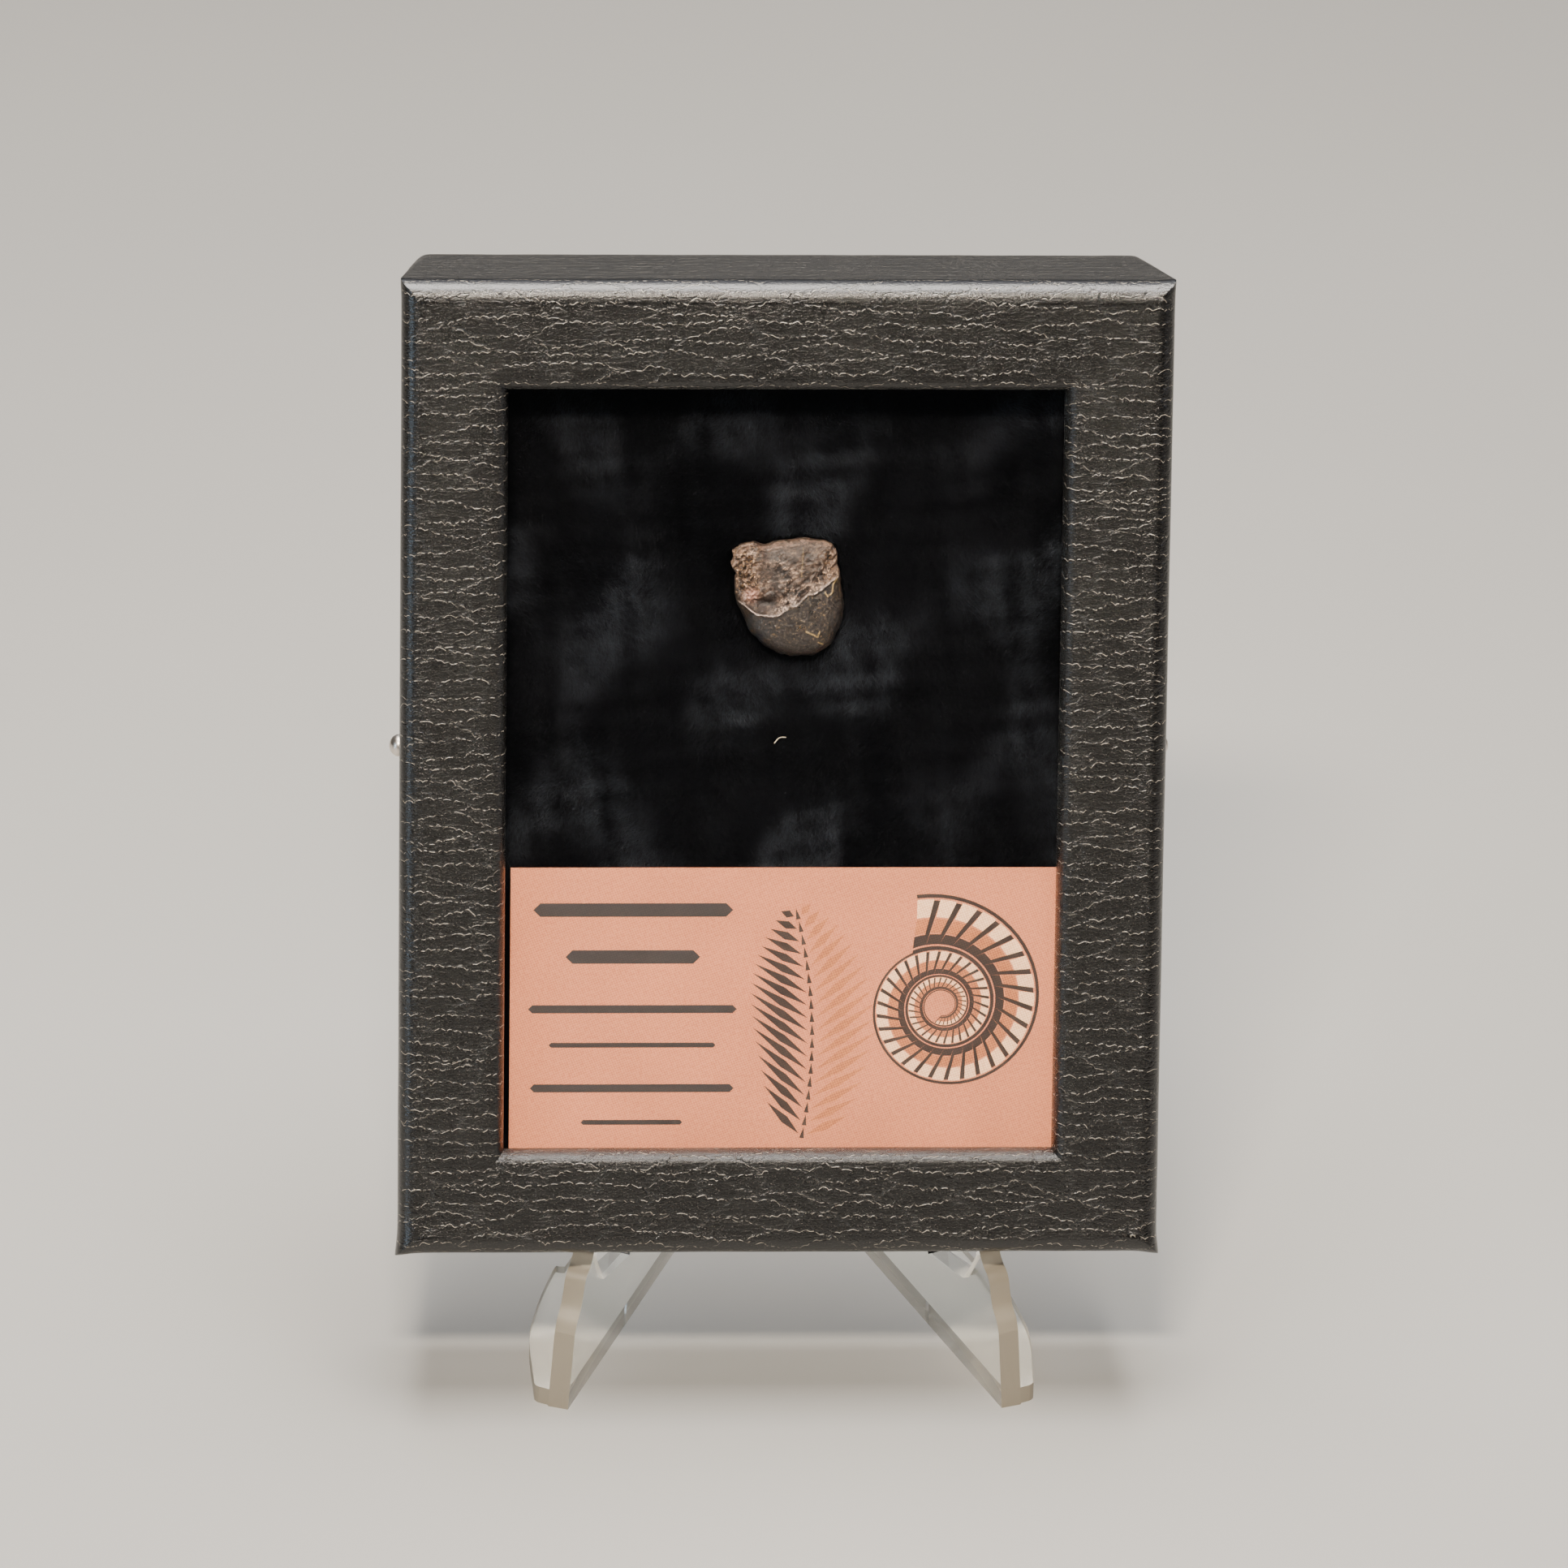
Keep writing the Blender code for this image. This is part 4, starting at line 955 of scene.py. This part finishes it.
def tooth_piece():
    """The tooth: granular enamel below, the worn facet above its bright ridge, broken edges."""
    bm = bmesh.new()
    bmesh.ops.create_icosphere(bm, subdivisions=7, radius=1.0)
    mesh = mesh_of("tooth_sculpt", bm)
    sphere = points_of(mesh)
    share = np.minimum(1.0, np.hypot(sphere[:, 0], sphere[:, 2]))
    angle = np.arctan2(sphere[:, 2], sphere[:, 0])
    ragged = noise_over(np.cos(angle) * 6, np.sin(angle) * 6, 1.0, 3, 0.3)
    broken_side = bell(angle - math.radians(143), 0.35)
    radius = outline_radius(angle) / MM * share * (1.0 + (0.012 + 0.03 * broken_side) * ragged)
    x, z = radius * np.cos(angle), radius * np.sin(angle)
    above = z - between(TOOTH_RIDGE, x)
    inside = 1.0 - share ** (8 + 14 * smooth((z - 1.0) / 2.0))
    front = sphere[:, 1] < 0

    facet = smooth((above + 0.05) / 0.35)
    bowl = bell(np.hypot((x + 1.2) / 2.7, (z - 3.0) / 1.9), 1.0) * facet
    # The cavity is a hollow in the relief; the finish also paints it near black, as a painted shade.
    cavity = bell(np.hypot((x + 2.7) / 1.9, (z + 0.7) / 0.75), 1.0) * facet
    bowl = np.maximum(bowl, cavity)
    # A patch of glints above the ridge: raised in the relief, and also painted pale through the crest and
    # ridge tones as a painted highlight.
    glint = bell(np.hypot((x + 0.2) / 1.3, (above - 0.35) / 0.4), 1.0) * facet
    band = bell(above - 0.75, 0.8) * facet * smooth((x + 2.0) / 1.6)
    spine = bell(line_distance(x, z, WAVY_SPINE), 0.4) * facet
    broken = smooth((-2.4 - x) / 1.6) * smooth((above - 0.1) / 0.9) + 0.7 * smooth((x - 3.4) / 0.9) * facet
    crinkle = 1.0 - 2.4 * abs(noise_over(x, z, 0.75, 4, 2.0, 1.8, math.radians(38)))
    coarse = noise_over(x, z, 1.4, 3, 7.0)
    fine = noise_over(x, z, 0.3, 2, 4.0)
    lumps = noise_over(x, z, 0.5, 2, 9.0)
    roughness = facet * (0.08 + 0.2 * band + 0.34 * broken + 0.2 * glint + 0.14 * spine) * (1.0 - 0.7 * bowl)
    scoop = (0.85 * smooth(above / 1.5) + 0.35 * bowl + 0.3 * cavity) * inside
    lip = 0.34 * bell(above, 0.17) * (0.75 + 0.6 * lumps) * inside + 0.15 * spine * inside
    rim_line = bell(share - 0.93, 0.03) * smooth((z - 2.5) / 1.5)
    rim_groove = bell(share - 0.87, 0.03) * smooth((z - 3.0) / 1.5)
    vein = np.max([bell(line_distance(x, z, path), 0.055) for path in VEINS], axis=0)
    vein = np.maximum(vein, 0.3 * bell(line_distance(x, z, PALE_LINE), 0.05))
    flake = bell(np.hypot(x - FLAKE[0], z - FLAKE[1]), 0.6)
    capped = np.minimum(share, 0.99999)
    bulge = TOOTH_FRONT / MM * np.sqrt(1.0 - capped ** 5) * (1.0 + 0.02 * np.minimum(0.0, z))
    height = bulge - scoop + lip + roughness * (crinkle - 0.3) * inside + 0.12 * coarse * broken * inside
    height = height + (0.035 + 0.02 * (1 - facet)) * fine * inside + 0.04 * lumps * inside
    height = height + 0.1 * rim_line - 0.08 * rim_groove + 0.12 * flake + 0.09 * vein
    back = TOOTH_BACK / MM * np.sqrt(1.0 - capped ** 3) + 0.12 * coarse * inside
    depth = np.where(front, -height, back)
    middle = np.array(TOOTH_CENTRE) / MM
    set_points(mesh, (np.stack((x, depth, z), axis=1) + middle) * MM)

    edge = smooth((share - 0.93) / 0.06) * smooth((z + 0.3) / 2.0)
    # The crests' share of pale tone is a painted highlight on the tops of the crinkled relief.
    crest_highlight_share = np.clip(0.12 + band + 0.8 * broken + glint + 1.4 * spine - cavity, 0, 1)
    # The ridge line is pale partly by its own colour; the glint patch added to it is a painted highlight.
    pale_ridge_and_painted_glint = bell(above, 0.075) * (0.8 + 1.0 * lumps) + 0.5 * glint * smooth((crinkle - 0.3) / 0.4)
    marks = {
        "facet": facet * inside,
        "bowl": bowl,
        "cavity": cavity,
        "broken": np.clip(broken, 0, 1) * inside,
        "painted_crest_highlight": smooth((crinkle - 0.66) / 0.32) * facet * crest_highlight_share,
        "ridge": np.clip(pale_ridge_and_painted_glint, 0, 1) * smooth((5.6 - abs(x)) / 0.4),
        "rim": np.clip(edge + rim_line, 0, 1),
        "vein": vein,
        "flake": flake,
        # The blue-grey tint on the lower left is painted light from the cool lamp on the left.
        "painted_cool_light": smooth((-0.5 - x) / 3.0) * smooth((-1.0 - z) / 3.0),
    }
    for name, values in marks.items():
        mark(mesh, name, np.where(front | (name == "rim"), values, 0.0))
    piece("tooth_sculpt", turned_out("tooth_sculpt", mesh), [fossil_finish()],
          ["tooth"], CASE, sharp=180)


# The pins.

def pin_piece(name, side, finish):
    """A pressed dome head on a drawn shank with a point."""
    head, skirt, shank, seat, dome = 1.2, 1.14, 0.4, 0.45, 1.0  # mm
    profile = [(0.0, seat + 0.1 + dome)]
    for step in range(1, 11):
        angle = math.pi / 2 * (1 - step / 10)
        profile.append((head * math.cos(angle), seat + 0.1 + dome * math.sin(angle)))
    profile += [(head, seat + 0.04), (skirt, seat), (shank, seat), (shank, -4.0), (0.0, -5.0)]
    bm = bmesh.new()
    chain = [bm.verts.new((x * MM, 0, z * MM)) for x, z in profile]
    edges = [bm.edges.new(pair) for pair in zip(chain, chain[1:])]
    bmesh.ops.spin(bm, geom=chain + edges, axis=(0, 0, 1), cent=(0, 0, 0), angle=math.tau, steps=40)
    bmesh.ops.remove_doubles(bm, verts=bm.verts, dist=0.001 * MM)
    wall = CASE_WIDTH / 2 - SIDE_DRAW * PIN_DEPTH / CASE_DEPTH
    turn = Matrix.Rotation(side * math.pi / 2, 4, "Y")
    place = CASE @ Matrix.Translation((side * wall, PIN_DEPTH, PIN_HEIGHT)) @ turn
    return piece(name + "_turned", mesh_of(name, bm), [finish], [name], place, sharp=50)


# The stand.

def arm_point(behind, height):
    """Turn (distance behind the toe, height) on an arm's inner face into plate coordinates."""
    up = height / math.cos(ARM_LEAN)
    along = (behind + up * math.sin(ARM_LEAN) * math.sin(ARM_ANGLE)) / math.cos(ARM_ANGLE)
    return along, up


def arm_frame(side, leaning):
    """Placement of an arm's plate, or of its foot: first axis along the arm, second across."""
    along = Vector((-side * math.sin(ARM_ANGLE), math.cos(ARM_ANGLE), 0))
    outward = Vector((side * math.cos(ARM_ANGLE), math.sin(ARM_ANGLE), 0))
    up = Vector((0, 0, 1))
    if leaning:
        second = up * math.cos(ARM_LEAN) - outward * math.sin(ARM_LEAN)
        third = outward * math.cos(ARM_LEAN) + up * math.sin(ARM_LEAN)
    else:
        second, third = outward, up
    toe = Vector((side * TOE_HALF_SPREAD, 0, 0))
    return Matrix.Translation(toe) @ Matrix((along, second, third)).transposed().to_4x4()


def spine_along(up):
    """Where the middle of an arm's plate meets the middle plane of the stand."""
    inward = up * math.sin(ARM_LEAN) * math.cos(ARM_ANGLE)
    half_plate = PLATE_THICKNESS / 2 * math.cos(ARM_LEAN) * math.cos(ARM_ANGLE)
    return (TOE_HALF_SPREAD + half_plate - inward) / math.sin(ARM_ANGLE)


def spine_point(height):
    """A point of the line on which the knuckles sit, in the stand's frame."""
    up = height / math.cos(ARM_LEAN)
    behind = spine_along(up) * math.cos(ARM_ANGLE) - up * math.sin(ARM_LEAN) * math.sin(ARM_ANGLE)
    return Vector((0, behind + PLATE_THICKNESS / 2 * math.sin(ARM_ANGLE), height))


def softened(points, steps=4):
    """Round a chain of points off with a smooth curve through them, keeping its ends."""
    chain = [Vector(points[0])] + [Vector(p) for p in points] + [Vector(points[-1])]
    result = []
    for a, b, c, d in zip(chain, chain[1:], chain[2:], chain[3:]):
        for step in range(steps):
            t = step / steps
            curve = 2 * b + (c - a) * t + (2 * a - 5 * b + 4 * c - d) * t * t
            curve += (3 * b - a - 3 * c + d) * t ** 3
            result.append(tuple(curve / 2))
    return result + [tuple(points[-1])]


def upright_edge():
    """The arm's edge behind the case, from the ledge up to its rounded top."""
    back = Vector((TOE_LEAD, CASE_EDGE_HEIGHT))
    back += Vector((math.cos(CASE_TILT), -math.sin(CASE_TILT))) * (CASE_DEPTH + GAP)
    run = math.tan(CASE_TILT)
    top = UPRIGHT_TOP - CORNER_RADIUS
    centre = (back.x + (top - back.y) * run + CORNER_RADIUS / math.cos(CASE_TILT), top)
    points = [(back.x + (LEDGE_HEIGHT - back.y) * run, LEDGE_HEIGHT)]
    for step in range(13):
        angle = math.pi - CASE_TILT - (math.pi / 2 - CASE_TILT) * step / 12
        points.append((centre[0] + CORNER_RADIUS * math.cos(angle),
                       centre[1] + CORNER_RADIUS * math.sin(angle)))
    return [arm_point(*point) for point in points]


def slab(outline, low, high, place):
    """A flat outline between two heights, as a closed bmesh."""
    bm = bmesh.new()
    base = bm.faces.new([bm.verts.new((a, b, low)) for a, b in outline])
    grown = bmesh.ops.extrude_face_region(bm, geom=[base])["geom"]
    lifted = [item for item in grown if isinstance(item, bmesh.types.BMVert)]
    bmesh.ops.translate(bm, vec=(0, 0, high - low), verts=lifted)
    bmesh.ops.triangulate(bm, faces=[f for f in bm.faces if len(f.verts) > 4])
    bmesh.ops.transform(bm, matrix=place, verts=bm.verts)
    return bm


def combined(name, base, steps):
    """Cut and join closed bmeshes one after another, and return the mesh."""
    helpers = []

    def holder(bm, label):
        obj = bpy.data.objects.new(label, mesh_of(label, bm))
        bpy.context.scene.collection.objects.link(obj)
        helpers.append(obj)
        return obj

    body = holder(base, name + "_body")
    for number, (operation, bm) in enumerate(steps):
        modifier = body.modifiers.new(operation, "BOOLEAN")
        modifier.operation = operation
        modifier.object = holder(bm, f"{name}_{number}")
        modifier.solver = "EXACT"
    bpy.context.view_layer.update()
    mesh = bpy.data.meshes.new_from_object(body.evaluated_get(bpy.context.evaluated_depsgraph_get()))
    for obj in helpers:
        bpy.data.objects.remove(obj)
    return mesh


def spine_cylinder(radius, low, high):
    """A cylinder on the line of the knuckles, as a closed bmesh."""
    foot, head = spine_point(0), spine_point(UPRIGHT_TOP)
    lean = math.atan2(foot.y - head.y, head.z)
    bm = bmesh.new()
    bmesh.ops.create_cone(bm, cap_ends=True, segments=40, radius1=radius, radius2=radius, depth=high - low)
    place = Matrix.Translation(foot) @ Matrix.Rotation(lean, 4, "X")
    bmesh.ops.transform(bm, matrix=place @ Matrix.Translation((0, 0, (low + high) / 2)), verts=bm.verts)
    return bm


def block(low, high):
    """A box between two corners, as a closed bmesh."""
    low, high = Vector(low), Vector(high)
    bm = bmesh.new()
    bmesh.ops.create_cube(bm, size=1.0)
    bmesh.ops.scale(bm, vec=high - low, verts=bm.verts)
    bmesh.ops.translate(bm, vec=(low + high) / 2, verts=bm.verts)
    return bm


def arm_piece(name, side, own, other, finishes):
    """One moulded arm with its edges broken: plate, hook, ledge, upright, foot and knuckles."""
    hook = [(y * MM, z * MM) for y, z in HOOK_EDGE]
    curve = [hook[0]] + softened(hook[1:13]) + [hook[13]]
    outline = [arm_point(*point) for point in curve] + upright_edge()
    top, low = outline[-1][1], outline[0][1]
    outline += [(spine_along(top), top), (spine_along(low), low)]
    inside = PLATE_THICKNESS / 4
    foot = [(along * MM, wide * MM) for along, wide in FOOT_EDGE]
    edge = softened(foot[:10], 3) + foot[10:12] + softened(foot[11:], 4)[1:]
    edge = [(0.0, inside)] + edge + [(edge[-1][0], inside)]
    far_side = block((-FAR, -FAR, -FAR), (GAP / 2, FAR, FAR))
    bmesh.ops.scale(far_side, vec=(side, 1, 1), verts=far_side.verts)
    steps = [("UNION", slab(edge, 0, FOOT_THICKNESS, arm_frame(side, False))),
             ("DIFFERENCE", block((-FAR, -FAR, -FAR), (FAR, FAR, 0))), ("DIFFERENCE", far_side)]
    for start, end in other:
        steps.append(("DIFFERENCE", spine_cylinder(KNUCKLE_RADIUS + GAP, start - GAP, end + GAP)))
    for start, end in own:
        steps.append(("UNION", spine_cylinder(KNUCKLE_RADIUS, start, end)))
    mesh = combined(name, slab(outline, 0, PLATE_THICKNESS, arm_frame(side, True)), steps)
    bm = bmesh.new()
    bm.from_mesh(mesh)
    bmesh.ops.remove_doubles(bm, verts=bm.verts, dist=0.002 * MM)
    bmesh.ops.dissolve_limit(bm, angle_limit=math.radians(0.5), verts=bm.verts, edges=bm.edges)
    sharp = [e for e in bm.edges if len(e.link_faces) == 2 and e.calc_face_angle(0) > math.radians(42)]
    bmesh.ops.bevel(bm, geom=sharp, offset=EDGE_BREAK, segments=2, profile=0.6, affect="EDGES",
                    clamp_overlap=True)
    bm.normal_update()
    for face in bm.faces:
        middle = face.calc_center_median()
        front_cut = face.normal.y < -0.3 and middle.y < HOOK_REACH and middle.z < HOOK_TOP
        foot_rim = abs(face.normal.z) < 0.3 and middle.z < FOOT_THICKNESS
        face.material_index = 1 if front_cut or foot_rim else 0
    arm = piece(name + "_clear", mesh_of(name, bm), finishes, [name], STAND, sharp=12)
    arm.visible_shadow = False


# The set: floor, lights and camera.

# The soft lights in metres and watts, as (name, place, width, height, power, tint), all aimed at one point.
SOFTBOXES = (
    ("overhead", (0.0, 0.02, 0.62), 0.3, 0.42, 9.0, "#fffaf4"),
    ("key", (-0.10, -0.60, 0.74), 0.16, 0.07, 12.0, "#fff1de"),
    ("behind", (0.0, 0.46, 0.56), 0.4, 0.3, 0.7, "#eef2fb"),
    ("strip_left", (-0.56, -0.40, 0.20), 0.03, 0.4, 1.3, "#c8dff2"),
    ("fill_right", (0.60, -0.20, 0.30), 0.2, 0.2, 0.5, "#eef3ff"),
)
LIGHTS_AIM = Vector((0, 0, 60 * MM))


def set_floor():
    """A plain pale floor, a hair below the feet."""
    left, right, front, back = -1.4, 1.4, -0.75, 2.2
    corners = [(left, front, 0), (right, front, 0), (right, back, 0), (left, back, 0)]
    mesh = mesh_from("floor", corners, [(0, 1, 2, 3)])
    floor = bpy.data.objects.new("floor", mesh)
    bpy.context.scene.collection.objects.link(floor)
    floor.location.z = -0.02 * MM
    material, tree, shader = new_finish("pale_paper")
    place = add(tree, "TexCoord", output="Object")
    cloud = add(tree, "TexNoise", {"Vector": place, "Scale": 8.0})
    tone = add(tree, "Mix", {"Factor": cloud, 6: "#9f9d99", 7: "#a7a5a1"}, data_type="RGBA")
    tree.links.new(tone, shader.inputs["Base Color"])
    shader.inputs["Roughness"].default_value = 0.7
    mesh.materials.append(material)


def set_lights():
    """Soft rectangular lights, and a dim world with a glow low down behind the case."""
    for name, at, width, height, power, tint in SOFTBOXES:
        light = bpy.data.lights.new(name, "AREA")
        light.shape = "RECTANGLE"
        light.size, light.size_y = width, height
        light.energy = power
        light.color = linear(tint)[:3]
        obj = bpy.data.objects.new(name, light)
        bpy.context.scene.collection.objects.link(obj)
        obj.location = at
        obj.rotation_euler = (LIGHTS_AIM - Vector(at)).to_track_quat("-Z", "Y").to_euler()
    world = bpy.data.worlds.new("studio")
    bpy.context.scene.world = world
    world.use_nodes = True
    tree = world.node_tree
    way = add(tree, "TexCoord", output="Generated")
    behind = add(tree, "VectorMath", {0: way, 1: (0.0, 0.93, 0.36)}, operation="DOT_PRODUCT")
    glow = add(tree, "MapRange", {"Value": behind, "From Min": 0.6, "From Max": 0.93,
                                  "To Min": 0.03, "To Max": 0.25}, interpolation_type="SMOOTHSTEP")
    ground = tree.nodes["Background"]
    ground.inputs["Color"].default_value = linear("#d8dbe0")
    tree.links.new(glow, ground.inputs["Strength"])


# The photograph's camera, worked out from the case's corners.
CAMERA_ELEVATION = math.radians(26.8)
CAMERA_YAW = math.radians(-3.54)
CAMERA_ROLL = math.radians(1.56)
CAMERA_DISTANCE = 1.211
CAMERA_TARGET = Vector((-0.75 * MM, TOES + TOE_LEAD, 76.0 * MM))
IMAGE_SIDE = 1932
FOCAL_PIXELS = 14127
SENSOR = 36.0


def set_camera():
    """The camera at the photograph's viewing angle."""
    back = Vector((math.sin(CAMERA_YAW) * math.cos(CAMERA_ELEVATION),
                   -math.cos(CAMERA_YAW) * math.cos(CAMERA_ELEVATION), math.sin(CAMERA_ELEVATION)))
    level = (-back).cross(Vector((0, 0, 1))).normalized()
    upright = level.cross(-back)
    right = level * math.cos(CAMERA_ROLL) + upright * math.sin(CAMERA_ROLL)
    up = upright * math.cos(CAMERA_ROLL) - level * math.sin(CAMERA_ROLL)
    data = bpy.data.cameras.new("photo_camera")
    data.sensor_width = SENSOR
    data.lens = FOCAL_PIXELS / IMAGE_SIDE * SENSOR
    data.clip_start = 0.05
    camera = bpy.data.objects.new("photo_camera", data)
    bpy.context.scene.collection.objects.link(camera)
    camera.matrix_world = (Matrix.Translation(CAMERA_TARGET + back * CAMERA_DISTANCE)
                           @ Matrix((right, up, back)).transposed().to_4x4())
    bpy.context.scene.camera = camera


def build():
    """Put the set, every dressed piece and the tray's finish into the scene."""
    set_camera()
    set_floor()
    set_lights()
    lid_piece()
    glass_piece()
    card_piece()
    plush_ground()
    # The pile's grey tip colour carries its painted sheen.
    finish = plush_finish("polyester_pile", "#020203", "#2a2d32")
    bottom, top = CARD_TOP - 2 * MM, CASE_HEIGHT - TOP_RAIL + 2.5 * MM
    strips = ("pile_lower", "pile_middle", "pile_upper")
    step = (top - bottom) / len(strips)
    fibres = 95000
    for number, name in enumerate(strips):
        low = bottom + number * step
        pile(name, low, low + step, WINDOW_WIDTH / 2 + 2.0 * MM, fibres, 11 + number, finish)
    lint_piece()
    tooth_piece()
    nickel = nickel_finish()
    for name, side in (("pin_left", -1), ("pin_right", 1)):
        pin_piece(name, side, nickel)
    clear = acrylic_finish("cast_acrylic", 0.02, 0.05, "#fbfbf8", 1.0)
    cut_edge = acrylic_finish("sawn_acrylic_edge", 0.35, 0.2, "#a89d8a", 0.35)
    low_span, middle_span, high_span = KNUCKLE_SPANS
    arm_piece("stand_left_arm", -1, [middle_span], [low_span, high_span], [clear, cut_edge])
    arm_piece("stand_right_arm", 1, [low_span, high_span], [middle_span], [clear, cut_edge])
    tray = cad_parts["base_tray"]
    tray.data.materials.clear()
    tray.data.materials.append(board_finish())


build()
